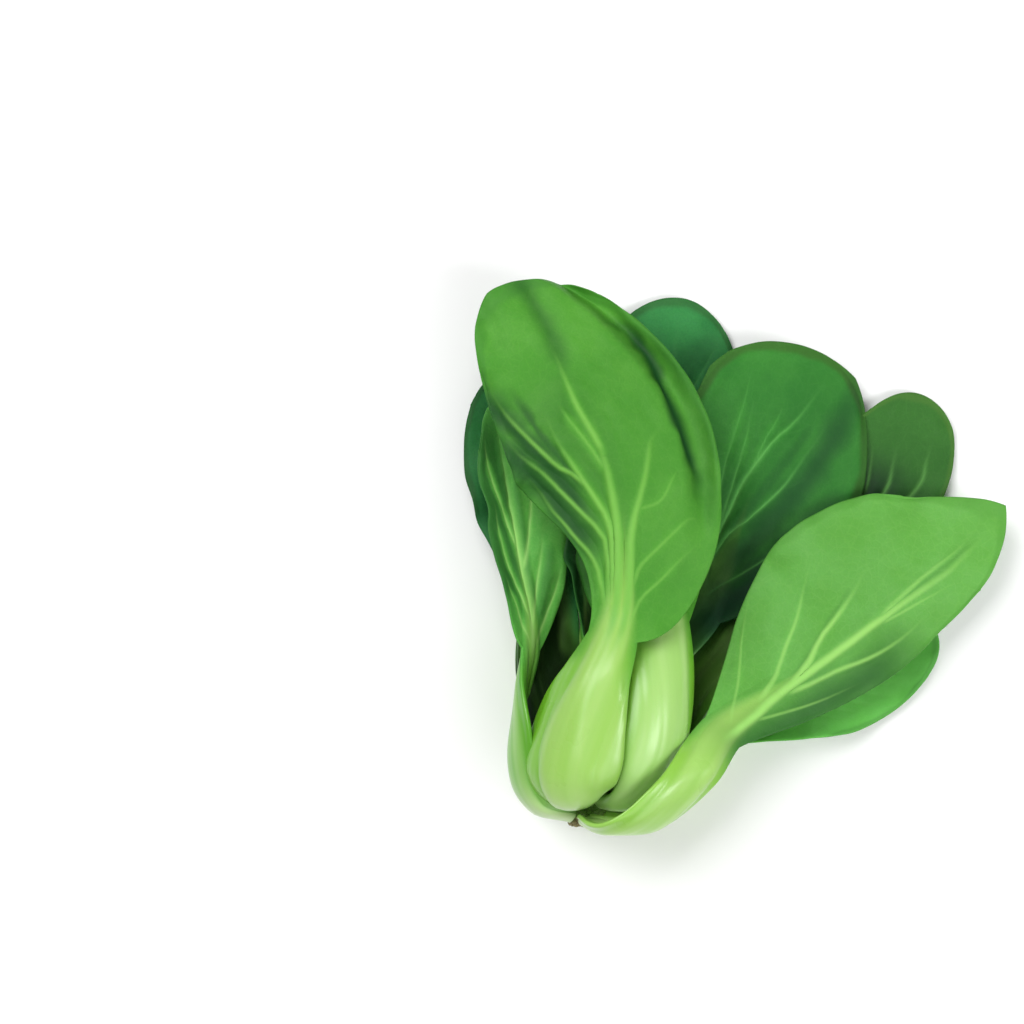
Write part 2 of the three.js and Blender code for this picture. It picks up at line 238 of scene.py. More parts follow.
def flat_leaf(leaf, rib, row, q):
    """s and a of each row and column, the half width w there, and how near the rim it is, from 0 to 1."""
    share = np.clip(row / STALK_ROWS, 0, 1)
    stalk_w = np.where(q < 0, along(leaf["stalk_half"][0], share), along(leaf["stalk_half"][1], share))
    neck_w = halves([half[-1] for half in leaf["stalk_half"]], q)
    rise = np.clip((row - STALK_ROWS) / SHOULDER_ROWS, 0, 1)
    power = halves(leaf["shoulder"], q)
    climb = np.sin(rise * np.pi / 2)
    widening = ((climb + START) ** power - START**power) / ((1 + START) ** power - START**power)
    full_w = halves(leaf["half"], q)
    up = np.clip((row - STALK_ROWS - SHOULDER_ROWS) / TOP_ROWS, 0, 1)
    top = rib.length - rib.widest
    square = leaf["square"]
    in_top = row > STALK_ROWS + SHOULDER_ROWS

    w = np.where(row <= STALK_ROWS, stalk_w, neck_w + (full_w - neck_w) * widening)
    a = w * q * np.sqrt(1 - square * up * up)
    s = np.where(row <= STALK_ROWS, share * rib.neck, rib.neck + rise * (rib.widest - rib.neck))
    reach = leaf["point"] * (up**3 * (1 - np.abs(q)) ** 1.5 - 1)
    drawn_out = reach * smooth(up, 0, leaf["taper"])
    s = np.where(in_top, rib.widest + top * up * np.sqrt(1 - square * q * q) + drawn_out, s)
    margin = np.where(row <= STALK_ROWS, 0, np.minimum((np.abs(q * climb) ** 6 + up**6) ** (1 / 6), 1))
    return s, a, w, margin


# %% [markdown]
# ## Curling the leaf
#
# The flat sheet is bent across its midrib. A stalk hugs the bulb. A blade has a curl and a fold of its
# own. Then come the waves of the rim, and on the front leaf a long valley beside its right rim. The
# sheet is bent as an arc, so that it keeps its width, as a real leaf does.

# %% The curled sheet
def across_direction(turn, heading):
    """The direction across the leaf: turn says which way its outer side faces."""
    across = np.stack([np.cos(turn), 0 * turn, -np.sin(turn)], axis=-1)
    across -= heading * np.sum(across * heading, axis=-1, keepdims=True)
    return across / np.linalg.norm(across, axis=-1, keepdims=True)


def curled(leaf, rib, s, a, w, margin, q):
    """The middle of the leaf's thickness in the head's measures."""
    u = np.clip(s / rib.length, 0, 1)
    centre = rib.read(rib.points, u * rib.length)
    heading = rib.read(rib.headings, u * rib.length)
    heading /= np.linalg.norm(heading, axis=-1, keepdims=True)
    neck = rib.neck / rib.length
    turn = np.radians(along(leaf["turn"], u, [0, neck / 2, neck, (1 + neck) / 2, 1]))
    across = across_direction(turn, heading)
    outward = np.cross(across, heading)

    blade = np.clip((u - neck) / (1 - neck), 0, 1)
    axis_x, axis_z = axis_at(centre[..., 1])
    distance = np.hypot(centre[..., 0] - axis_x, centre[..., 2] - axis_z)
    hug = halves(leaf["hug"], q) * w / np.maximum(distance, w)
    curl = np.radians(along(leaf["bend"], blade))
    in_blade = smooth(u, 0.75 * neck, 1.05 * neck)
    blade_w = np.maximum(w, 0.6 * halves(leaf["half"], q))
    turning = hug / w + (curl / blade_w - hug / w) * in_blade + 1e-6
    fold = np.radians(along(leaf["fold"], blade)) * smooth(blade, 0, 0.2)
    sideways = (np.sin(fold + turning * np.abs(a)) - np.sin(fold)) / turning
    inwards = (np.cos(fold) - np.cos(fold + turning * np.abs(a))) / turning

    height, waves, phase = leaf["ruffle"]
    round_leaf = np.arctan2(a, s - rib.widest)
    ruffle = height * margin**3 * np.sin(waves * round_leaf + math.radians(phase))
    place, depth, width = leaf["crease"]
    beside = 1 - smooth(np.abs(q - place), 0, width)
    crease = depth * beside * smooth(s, rib.neck + 15, rib.widest)
    lift = (ruffle - inwards - crease)[..., None]
    return centre + across * (np.sign(q) * sideways)[..., None] + outward * lift, blade


# %% [markdown]
# ## Small unevenness
#
# Nothing that grows is quite smooth. A sum of waves in many directions, drawn once from a seeded random
# source, gives soft swellings. It is the same on every run, and it has no grid that the eye could find.

# %% Swellings
def swelling(seed, x, y, shortest, longest, waves=14):
    """Soft random hills between about -1 and 1, with wave lengths between the two given ones."""
    random = np.random.default_rng(seed)
    total = np.zeros(x.shape)
    for _ in range(waves):
        size = shortest * (longest / shortest) ** random.random()
        way, phase = 2 * np.pi * random.random(2)
        total += np.sin(2 * np.pi * (x * np.cos(way) + y * np.sin(way)) / size + phase)
    return total / math.sqrt(waves)


# %% [markdown]
# ## Veins
#
# On the outer side of a leaf the veins stand out as pale ridges, and on the inner side they are fine
# grooves. A vein is given by a few points on the flat leaf: how far above the neck, and how far across.
# Side branches leave each vein by a rule. The distance from every point of the leaf to its veins gives
# both the height of the ridge and the colour, so the two always match. Folds are drawn the same way, as
# lines along which the sheet sinks and along which shade is painted.

# %% Vein lines
VEIN_STEPS = 14
FORKS = ((0.42, 1), (0.66, -1))
FORK_ANGLE = 26
FORK_REACH = 0.4


def vein_line(points):
    """A vein's points, joined by a smooth line."""
    p = np.array(points, float)
    share = np.linspace(0, 1, VEIN_STEPS)
    return np.stack([along(p[:, 0], share), along(p[:, 1], share)], axis=-1)


def forks_of(line, width):
    """The thin side branches of a vein, on either side of it in turn."""
    reach = FORK_REACH * np.linalg.norm(line[-1] - line[0])
    for share, side in FORKS:
        at = int(share * (len(line) - 1))
        heading = line[at + 1] - line[at]
        heading /= np.linalg.norm(heading)
        turn = math.radians(FORK_ANGLE * side)
        out = np.array([
            heading[0] * math.cos(turn) - heading[1] * math.sin(turn),
            heading[0] * math.sin(turn) + heading[1] * math.cos(turn),
        ])
        start = line[at]
        length = reach * (1.1 - share)
        middle = start + 0.5 * length * out
        end = start + length * (0.75 * out + 0.3 * heading)
        yield 0.55 * width, vein_line([start, middle, end])


def distance_to_line(line, y, a):
    """How far each place is from a line, and how far along the line that is, from 0 to 1."""
    nearest = np.full(y.shape, 1e3)
    where = np.zeros(y.shape)
    for i, (start, end) in enumerate(zip(line, line[1:])):
        step = end - start
        t = np.clip(((y - start[0]) * step[0] + (a - start[1]) * step[1]) / (step @ step), 0, 1)
        d = np.hypot(y - start[0] - t * step[0], a - start[1] - t * step[1])
        closer = d < nearest
        nearest = np.where(closer, d, nearest)
        where = np.where(closer, (i + t) / (len(line) - 1), where)
    return nearest, where


def vein_field(veins, forks, y, a):
    """The colour, 0 to 1, and the height of the veins, and the distance to the nearest large one."""
    colour, height, nearest = np.zeros(y.shape), np.zeros(y.shape), np.full(y.shape, 1e3)
    for width, points in veins:
        line = vein_line(points)
        for size, path in [(width, line), *forks_of(line, width)]:
            d, t = distance_to_line(path, y, a)
            w = size * (1 - 0.5 * t)
            strength = 1 if size == width else forks
            ridge = np.exp(-((d / w) ** 2)) * smooth(t, -0.05, 0.1) * (1 - smooth(t, 0.45, 1.0)) * strength
            colour = np.maximum(colour, ridge * np.clip(size / 1.1, 0.35, 1))
            height = np.maximum(height, 0.45 * w * ridge)
            if size == width:
                nearest = np.minimum(nearest, d + 5 * smooth(t, 0.6, 1))
    return colour, height, nearest


def fold_field(folds, seed, y, a):
    """How far the leaf's own folds sink, in mm, and how much shade is painted along them, from 0 to 1. Their
    sides are ragged.
    """
    depth, dark = np.zeros(y.shape), np.zeros(y.shape)
    for width, sink, darkness, points in folds:
        d, t = distance_to_line(vein_line(points), y, a)
        ragged = width * (1 + 0.15 * swelling(seed, a, y, 12, 40)) + 0.3 * swelling(seed + 1, a, y, 5, 12)
        stroke = np.exp(-((d / ragged) ** 2)) * smooth(t, 0, 0.25) * (1 - smooth(t, 0.75, 1))
        depth = np.maximum(depth, sink * stroke)
        dark = np.maximum(dark, darkness * stroke)
    return depth, dark


def fan(count, length, half, width=0.9, lowest=0.02, highest=0.6, lean=0.45):
    """A plain fan of veins for both sides: count on each side of a blade of that length and half width."""
    veins = []
    for side in (-1, 1):
        for i in range(count):
            start = length * (lowest + (highest - lowest) * i / count)
            reach = half * (0.86 - 0.3 * (i / count) ** 2)
            end = min(start + lean * length * (1.15 - 0.3 * i / count) + 0.1 * side, 0.93 * length)
            middle = (start + 0.42 * (end - start), side * 0.36 * reach)
            veins.append((width * (1 - 0.35 * i / count), [(start, 0), middle, (end, side * reach)]))
    veins.append((1.25 * width, [(0, 0), (0.5 * length, 0), (0.97 * length, 0)]))
    return veins


print("a vein has", VEIN_STEPS, "points and", len(FORKS), "branches")

# %% [markdown]
# ## Relief and thickness
#
# The stalk has a raised pale rib with a groove on each side, and fine ridges along it. The blade sinks
# between its veins in pleats. The whole sheet follows this relief, so a ridge on one side is a groove on
# the other. The leaf is a thick lens across the stalk and a thin skin in the blade, and it gets thinner
# still at its rim.

# %% Relief
STALK_EDGE = 1.3
BLADE = 0.8
RIM = 0.3
RIB_TIP = 2


def ridge_line(distance, width):
    return np.exp(-((distance / width) ** 2))


def relief(leaf, rib, s, a, q, margin, masks):
    """How far the sheet's middle stands out, in mm."""
    above = s - rib.neck
    in_blade = smooth(above, -8, 12)
    inside = 1 - smooth(np.abs(q), 0.86, 1.0)
    pleat = flowing(leaf["pleat"], q) * smooth(above, 0, 25) * inside
    pleat = pleat * (1 - 0.8 * smooth(above, *leaf["light_top"]))
    valley = smooth(masks["nearest"], 0, leaf["pleat_width"]) * pleat + masks["fold"] * inside
    hills = 0.45 * leaf["uneven"] * swelling(leaf["seed"], a, s, 16, 45)
    blisters = 0.1 * leaf["uneven"] * swelling(leaf["seed"] + 1, a, s, 5, 12, 24) * inside
    rim_waves = leaf["rim_wave"] * swelling(leaf["seed"] + 2, a, s, 10, 30) * margin**5
    roll = leaf["roll"] * smooth(margin, 0.84, 1.0) ** 2
    soft = in_blade * (hills + blisters + rim_waves + roll)
    raised = leaf["rib_height"] * (masks["pale"] - 0.3 * ridge_line(masks["rib_edge"] - 1, 0.25))
    stalk = (1 - in_blade) * (raised + 0.05 * swelling(leaf["seed"] + 3, a, 0.04 * s, 2.5, 8))
    return masks["vein_height"] * in_blade - valley + soft + stalk


def thickness(leaf, rib, s, a, w, q, blade):
    share = np.clip(s / rib.neck, 0, 1)
    fading = np.clip(np.sqrt(blade + 0.002) - 0.045, 0, 1)
    middle = along(leaf["thick"], share) * (1 - fading) + BLADE * fading
    edge = STALK_EDGE + (BLADE - STALK_EDGE) * smooth(share, 0.6, 1)
    neck_w = halves([half[-1] for half in leaf["stalk_half"]], q)
    rib_w = np.where(blade > 0, neck_w + (RIB_TIP - neck_w) * fading, w)
    lens = np.clip(1 - (a / rib_w) ** 2, 0, 1)
    return edge + (middle - edge) * lens


# %% [markdown]
# ## Where the colours go
#
# Each leaf carries a few masks at its vertices: the pale rib, the flesh of the stalk, the white root, the
# veins, the valleys between them, where shade is painted, the rim, and the inner side. The finish reads
# them and mixes its colours by them.

# %% Masks
def masks_of(leaf, rib, s, a, w, q, margin):
    above = s - rib.neck
    veins = leaf["veins"] or fan(6, rib.length - rib.neck, min(leaf["half"]))
    colour, height, nearest = vein_field(veins, leaf["forks"], above, a)
    fold, fold_shade = fold_field(leaf["folds"], leaf["seed"] + 7, above, a)
    share = np.clip(s / rib.neck, 0, 1)
    neck_w = halves([half[-1] for half in leaf["stalk_half"]], q)
    stalk_rib = halves(leaf["rib"], q) * w
    tip_rib = 0.9 * (1 - smooth(above, 0, 0.9 * (rib.length - rib.neck)))
    neck_rib = 0.65 * neck_w
    wedge = tip_rib + (neck_rib - tip_rib) * (1 - smooth(above, -6, 42))
    half_rib = stalk_rib + (wedge - stalk_rib) * smooth(share, 0.55, 1.0)
    rib_edge = np.abs(a) / np.maximum(half_rib, 0.3)
    soft = 0.26 + 0.3 * smooth(share, 0.4, 1.0)
    pale = 1 - smooth(rib_edge, 1 - soft, 1 + soft)
    wings = smooth(np.abs(a) / np.where(above > 0, neck_w, w), 0.3, 1.0)
    stalk = 1 - smooth(above + 9 * wings + 2 * swelling(leaf["seed"] + 4, a, s, 6, 18), -16, 12)
    # Painted shade: the blade is darkened between its veins, the stalk beside its rib, and both along the
    # folds.
    between = smooth(nearest, 0.3, 0.6 * leaf["pleat_width"]) * smooth(above, 2, 24)
    between = between * flowing(leaf["pleat_shade"], q)
    between = between * (1 - smooth(above, *leaf["light_top"]))
    groove = 0.07 * ridge_line(rib_edge - 1, 0.25) * stalk
    return {
        "vein": colour * smooth(above, -12, 6),
        "vein_height": height * (0.2 + 0.8 * smooth(above, 2, 28)),
        "nearest": nearest,
        "fold": fold,
        "pale": pale * (1 - smooth(above, 2, 48)),
        "rib_edge": rib_edge,
        "stalk": stalk,
        "root": (1 - smooth(s, 2, 24)) * (0.3 + 0.7 * pale),
        "valley": np.maximum(np.maximum(between, fold_shade), groove),
        "rim": smooth(margin + 0.012 * swelling(leaf["seed"] + 5, a, s, 8, 20), 0.9, 0.95),
    }


# %% [markdown]
# ## Growing a leaf
#
# The piece could be sculpted, or drawn as a curve and filled. A grid is chosen instead: its rows run
# across the leaf and its columns along it, so its vertices can be laid along the midrib one by one. The
# quads are cut into triangles the way the veins run, because a thin ridge that crosses the cuts would get
# teeth. The Solidify modifier then gives the sheet its thickness, and a vertex group says how much. Last,
# the vertices are gently held inside the box of the solids, because the dressed head may not outgrow them.

# %% Grid, sheet and thickness
THICKEST = 9.0
THIN_FROM = 0.94
HOLD = 0.4
CLEARANCE = 0.05
MAP_SCALE = 5


def nothing_selected():
    if bpy.context.object and bpy.context.object.mode != "OBJECT":
        bpy.ops.object.mode_set(mode="OBJECT")
    bpy.ops.object.select_all(action="DESELECT")


def rows_for(rib, step):
    """Row numbers along the leaf, about one step apart, and wider apart in the stalk."""
    lengths = [rib.neck / 1.6, rib.widest - rib.neck, rib.length - rib.widest]
    starts = [0, STALK_ROWS, STALK_ROWS + SHOULDER_ROWS, LAST_ROW]
    parts = [
        np.linspace(low, high, max(int(length / step), 8), endpoint=False)
        for low, high, length in zip(starts, starts[1:], lengths)
    ]
    return np.concatenate([*parts, [LAST_ROW]])


def normals_of(points):
    """The direction that the outer side faces, at each vertex of the sheet."""
    normal = np.cross(np.gradient(points, axis=1), np.gradient(points, axis=0))
    return normal / np.maximum(np.linalg.norm(normal, axis=-1, keepdims=True), 1e-9)


def tucked(leaf, points, s):
    """Bends the first few mm of a stalk into the short stem, so that its end is inside it."""
    axis_x, axis_z = axis_at(points[..., 1])
    depth, length = leaf["tuck"]
    share = 1 - depth * (1 - smooth(s, 0, length))
    x = axis_x + (points[..., 0] - axis_x) * share
    z = axis_z + (points[..., 2] - axis_z) * share
    return np.stack([x, points[..., 1], z], axis=-1)


def kept_inside(co):
    """The vertices, gently held inside the box of the solids at its sides and top."""
    low, high = np.array(cad_box)
    soft = HOLD * MM
    held = low + soft * np.logaddexp(0, (co - low) / soft)
    held[..., 2] = co[..., 2]
    return high - soft * np.logaddexp(0, (high - held) / soft)


def cut_quads(mesh, columns):
    """Cuts the quads into triangles, along the way the veins run on each side of the midrib."""
    bpy.context.tool_settings.mesh_select_mode = (False, False, True)
    for method in ("FIXED_ALTERNATE", "FIXED"):
        left = np.arange(len(mesh.polygons)) % columns < columns / 2
        mesh.polygons.foreach_set("select", left | (method == "FIXED"))
        bpy.ops.object.mode_set(mode="EDIT")
        bpy.ops.mesh.quads_convert_to_tris(quad_method=method)
        bpy.ops.object.mode_set(mode="OBJECT")


def write_mask(mesh, name, values):
    mask = mesh.attributes.new(name, "FLOAT", "POINT")
    mask.data.foreach_set("value", np.asarray(values, np.float32).ravel())


def grow(node, leaf, finish):
    """A fine leaf that replaces the node of that name."""
    rib = Midrib(leaf)
    rows = rows_for(rib, leaf["step"])
    columns = int(2 * max(leaf["half"]) / leaf["step"])
    row, q = np.meshgrid(rows, np.linspace(-1, 1, columns + 1), indexing="ij")
    s, a, w, margin = flat_leaf(leaf, rib, row, q)
    masks = masks_of(leaf, rib, s, a, w, q, margin)
    points, blade = curled(leaf, rib, s, a, w, margin, q)
    points = tucked(leaf, points, s)
    raised = relief(leaf, rib, s, a, q, margin, masks)
    points = points + normals_of(points) * raised[..., None]
    thick = thickness(leaf, rib, s, a, w, q, blade)
    near_rim = (np.maximum(np.abs(q), margin) - THIN_FROM) / (1 - THIN_FROM)
    thin = np.sqrt(np.clip(1 - near_rim.clip(0) ** 2, 0, 1))
    thick = RIM + (thick - RIM) * thin
    lift = np.where(blade > 0, np.clip(0.5 * thick + CLEARANCE - points[..., 2], 0, None), 0)
    points[..., 2] += lift
    normal = normals_of(points)

    nothing_selected()
    bpy.ops.mesh.primitive_grid_add(x_subdivisions=columns, y_subdivisions=len(rows) - 1, size=1)
    piece = bpy.context.object
    piece.name = "fine_" + node
    mesh = piece.data
    mesh.vertices.foreach_set("co", ((points + ORIGIN) * MM).astype(np.float32).ravel())
    cut_quads(mesh, columns)
    group = piece.vertex_groups.new(name="thickness")
    for i, share in enumerate((thick / THICKEST).ravel().tolist()):
        group.add((i,), share, "REPLACE")

    solid = piece.modifiers.new("Thickness", "SOLIDIFY")
    solid.thickness = THICKEST * MM
    solid.offset = 0
    solid.vertex_group = group.name
    bpy.ops.object.modifier_apply(modifier=solid.name)
    piece.vertex_groups.clear()

    co = np.empty(len(mesh.vertices) * 3, np.float32)
    mesh.vertices.foreach_get("co", co)
    co = co.reshape(2, -1, 3)
    middle = ((points + ORIGIN) * MM).reshape(-1, 3)
    co = kept_inside(co)
    co[..., 2] = np.maximum(co[..., 2], 0)
    mesh.vertices.foreach_set("co", co.astype(np.float32).ravel())
    facing = np.sum((co - middle) * normal.reshape(-1, 3), axis=-1)
    write_mask(mesh, "inner", facing < 0)
    for name in ("vein", "pale", "stalk", "root", "valley", "rim"):
        write_mask(mesh, name, np.tile(masks[name].ravel(), 2))

    corner = np.empty(len(mesh.loops), np.int32)
    mesh.loops.foreach_get("vertex_index", corner)
    place = np.stack([a.ravel(), s.ravel()], axis=-1)[corner % a.size] * MM * MAP_SCALE + (0.5, 0)
    mesh.uv_layers.active.data.foreach_set("uv", place.astype(np.float32).ravel())
    mesh.update()
    bpy.ops.object.shade_smooth()
    mesh.materials.append(finish)

    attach(piece, "root")
    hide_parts(node)
    mesh.calc_loop_triangles()
    print(piece.name, len(mesh.loop_triangles), "triangles", "lifted", round(float(lift.max()), 2), "mm")
    return piece


# %% [markdown]
# ## Shader helpers
#
# A finish is a tree of shader nodes. These two helpers make one node each, so that the trees below read
# as a list of steps. Colours are given as they are shown on a screen, from 0 to 255, and turned into the
# linear values that the shader works with.

# %% Node helpers
def colour(red, green, blue):
    seen = (red / 255, green / 255, blue / 255)
    linear = [c / 12.92 if c <= 0.04045 else ((c + 0.055) / 1.055) ** 2.4 for c in seen]
    return (*linear, 1.0)


def add(tree, kind, inputs=None, **settings):
    """One shader node. Its inputs are values, or outputs of other nodes, which are then linked."""
    node = tree.nodes.new("ShaderNode" + kind)
    for name, value in settings.items():
        setattr(node, name, value)
    for name, value in (inputs or {}).items():
        if isinstance(value, bpy.types.NodeSocket):
            tree.links.new(value, node.inputs[name])
        else:
            node.inputs[name].default_value = value
    return node


FACTOR, LOW, HIGH, RESULT = 0, 6, 7, 2


def blend(tree, share, low, high):
    """The colour between low and high."""
    return add(tree, "Mix", {FACTOR: share, LOW: low, HIGH: high}, data_type="RGBA").outputs[RESULT]


def times(tree, one, other):
    return add(tree, "Math", {0: one, 1: other}, operation="MULTIPLY").outputs[0]


def plus(tree, one, other):
    return add(tree, "Math", {0: one, 1: other}, operation="ADD").outputs[0]


def mask(tree, name):
    return add(tree, "Attribute", attribute_name=name).outputs["Fac"]


def steps(tree, value, low, high):
    """0 up to low, 1 from high, and a soft step between them."""
    inputs = {"Value": value, "From Min": low, "From Max": high}
    return add(tree, "MapRange", inputs, interpolation_type="SMOOTHSTEP").outputs["Result"]


def new_group(name, inputs, outputs):
    """An empty shader node group with those inputs, given with their values, and those outputs."""
    group = bpy.data.node_groups.new(name, "ShaderNodeTree")
    for label, value in inputs.items():
        socket = group.interface.new_socket(label, in_out="INPUT", socket_type="NodeSocketFloat")
        socket.default_value = value
    for label in outputs:
        group.interface.new_socket(label, in_out="OUTPUT", socket_type="NodeSocketFloat")
    return group, group.nodes.new("NodeGroupInput"), group.nodes.new("NodeGroupOutput")


# %% [markdown]
# ## The fine net of the blade
#
# Between the veins that can be counted lies a net of finer and finer ones, and the skin between them
# swells a little. Modelling it would take millions of faces, and at arm's length it is only a change of
# tone, so it is a shader node group. Two sizes of cells are laid on the leaf's own map.

# %% Net group
net, net_in, net_out = new_group("leaf net", {"Cells": 60.0}, ["Net", "Swelling"])
leaf_map = add(net, "UVMap", uv_map="UVMap").outputs["UV"]
wobble = add(net, "TexNoise", {"Vector": leaf_map, "Scale": 16.0, "Detail": 2.0}).outputs["Color"]
bent = {0: wobble, 1: (0.012, 0.012, 0.0), 2: leaf_map}
bent_map = add(net, "VectorMath", bent, operation="MULTIPLY_ADD").outputs[0]
coarse_scale = net_in.outputs["Cells"]
coarse = add(net, "TexVoronoi", {"Vector": bent_map, "Scale": coarse_scale}, feature="DISTANCE_TO_EDGE")
finer_scale = times(net, net_in.outputs["Cells"], 2.7)
fine = add(net, "TexVoronoi", {"Vector": bent_map, "Scale": finer_scale}, feature="DISTANCE_TO_EDGE")
coarse_line = steps(net, coarse.outputs["Distance"], 0.09, 0.0)
fine_line = steps(net, fine.outputs["Distance"], 0.12, 0.0)
net.links.new(plus(net, times(net, coarse_line, 0.7), times(net, fine_line, 0.3)), net_out.inputs["Net"])
coarse_hill = steps(net, coarse.outputs["Distance"], 0.0, 0.4)
fine_hill = steps(net, fine.outputs["Distance"], 0.0, 0.35)
net.links.new(plus(net, times(net, coarse_hill, 0.7), times(net, fine_hill, 0.3)), net_out.inputs["Swelling"])
print("node group:", net.name)

# %% [markdown]
# ## The fibres of the stalk
#
# A stalk is a bundle of fibres under a clear skin. They show as fine lighter and darker lines along it.
# Noise that is stretched along the stalk draws them.

# %% Fibre group
fibres, fibres_in, fibres_out = new_group("stalk fibres", {"Fineness": 60.0}, ["Lines", "Streaks"])
stalk_map = add(fibres, "UVMap", uv_map="UVMap").outputs["UV"]
long_map = add(fibres, "VectorMath", {0: stalk_map, 1: (1.0, 0.035, 1.0)}, operation="MULTIPLY").outputs[0]
lines = add(fibres, "TexNoise", {"Vector": long_map, "Scale": fibres_in.outputs["Fineness"], "Detail": 3.0})
wide = add(fibres, "TexNoise", {"Vector": long_map, "Scale": 26.0, "Detail": 1.0})
fibres.links.new(steps(fibres, lines.outputs["Fac"], 0.35, 0.68), fibres_out.inputs["Lines"])
fibres.links.new(steps(fibres, wide.outputs["Fac"], 0.35, 0.65), fibres_out.inputs["Streaks"])
print("node group:", fibres.name)

# %% [markdown]
# ## Mottling
#
# A leaf isn't one green. Sun, age and water leave soft lighter and darker areas. This group gives them in
# two sizes, and it reads Object coordinates, so that neighbours don't repeat each other.

# %% Mottle group
mottle, mottle_in, mottle_out = new_group("leaf mottle", {"Size": 55.0}, ["Areas", "Specks"])
where = add(mottle, "TexCoord").outputs["Object"]
areas = add(mottle, "TexNoise", {"Vector": where, "Scale": mottle_in.outputs["Size"], "Detail": 3.0})
specks = add(mottle, "TexNoise", {"Vector": where, "Scale": 1400.0, "Detail": 2.0})
mottle.links.new(steps(mottle, areas.outputs["Fac"], 0.32, 0.68), mottle_out.inputs["Areas"])
mottle.links.new(steps(mottle, specks.outputs["Fac"], 0.35, 0.7), mottle_out.inputs["Specks"])
print("node group:", mottle.name)

# %% [markdown]
# ## The finish of a leaf
#
# One tree serves all the leaves, each with its own greens. It starts with the blade's colour on the outer
# and the inner side, lightens the net, and then lays the stalk's colours, the painted shade of the folds,
# pleats and grooves, and the veins over it by the masks. The wax on the skin is a thin coat. A little light
# goes into the flesh and comes out again beside the place where it went in, which is what makes a fresh
# stalk look juicy.
#
# - outer and inner: the blade's two sides. shade: its darker areas. The next one: painted shade at the
#   bottom of a fold, between the veins, beside the stalk's rib and on the unlit inner side of stalks.
# - edge: the rim.
# - wing, rib and root: the stalk's thin sides, its pale middle and its end. vein: the veins.
# - hollow: how dark a stalk's inner side is, where the stalks stand so close that no light gets in.

# %% Leaf finish
def placed(tree, group, **values):
    """A node group placed in a material with its own values."""
    node = tree.nodes.new("ShaderNodeGroup")
    node.node_tree = group
    for name, value in values.items():
        node.inputs[name].default_value = value
    return node


def leaf_finish(name, outer, inner, shade, painted_shade, edge, wing, rib, root, vein, rough=0.6, hollow=0.0):
    material = bpy.data.materials.new(name)
    material.use_nodes = True
    tree = material.node_tree
    shader = tree.nodes["Principled BSDF"]
    cells, fibre, tone = placed(tree, net), placed(tree, fibres), placed(tree, mottle)
    areas, specks = tone.outputs["Areas"], tone.outputs["Specks"]
    stalk, pale = mask(tree, "stalk"), mask(tree, "pale")

    skin = blend(tree, mask(tree, "inner"), colour(*outer), colour(*inner))
    skin = blend(tree, times(tree, areas, 0.6), skin, colour(*shade))
    skin = blend(tree, times(tree, cells.outputs["Net"], 0.1), skin, colour(*vein))
    skin = blend(tree, times(tree, specks, 0.25), skin, colour(*shade))
    skin = blend(tree, times(tree, mask(tree, "rim"), 0.6), skin, colour(*edge))
    flesh = blend(tree, times(tree, fibre.outputs["Streaks"], 0.25), colour(*wing), colour(*rib))
    heart = blend(tree, times(tree, fibre.outputs["Streaks"], 0.3), colour(*rib), colour(*root))
    heart = blend(tree, times(tree, fibre.outputs["Lines"], 0.12), heart, colour(*wing))
    skin = blend(tree, stalk, skin, flesh)
    skin = blend(tree, times(tree, pale, 0.95), skin, heart)
    # Painted shade: the valleys between the veins, the folds and the grooves beside the rib get the shade
    # colour.
    skin = blend(tree, mask(tree, "valley"), skin, colour(*painted_shade))
    skin = blend(tree, mask(tree, "vein"), skin, colour(*vein))
    skin = blend(tree, times(tree, mask(tree, "root"), 0.8), skin, colour(*root))
    if hollow:
        flesh_there = add(tree, "Math", {0: stalk, 1: pale}, operation="MAXIMUM").outputs[0]
        unlit = times(tree, times(tree, mask(tree, "inner"), flesh_there), hollow)
        skin = blend(tree, unlit, skin, colour(*painted_shade))
    tree.links.new(skin, shader.inputs["Base Color"])

    roughness = {"Value": stalk, "To Min": rough, "To Max": 0.27}
    roughness = add(tree, "MapRange", roughness).outputs["Result"]
    tree.links.new(plus(tree, roughness, times(tree, areas, 0.08)), shader.inputs["Roughness"])
    on_blade = add(tree, "Math", {0: 1.0, 1: stalk}, operation="SUBTRACT").outputs[0]
    height = times(tree, times(tree, cells.outputs["Swelling"], 0.6), on_blade)
    height = plus(tree, height, times(tree, times(tree, fibre.outputs["Lines"], 0.15), stalk))
    height = plus(tree, height, times(tree, specks, 0.08))
    bump = add(tree, "Bump", {"Strength": 0.3, "Distance": 0.25 * MM, "Height": height})
    tree.links.new(bump.outputs["Normal"], shader.inputs["Normal"])
    shader.inputs["Specular IOR Level"].default_value = 0.22
    shader.inputs["Subsurface Weight"].default_value = 0.12
    shader.inputs["Subsurface Radius"].default_value = (0.5, 1.0, 0.25)
    shader.inputs["Subsurface Scale"].default_value = 1.5 * MM
    tree.links.new(times(tree, stalk, 0.6), shader.inputs["Coat Weight"])
    shader.inputs["Coat Roughness"].default_value = 0.28
    return material


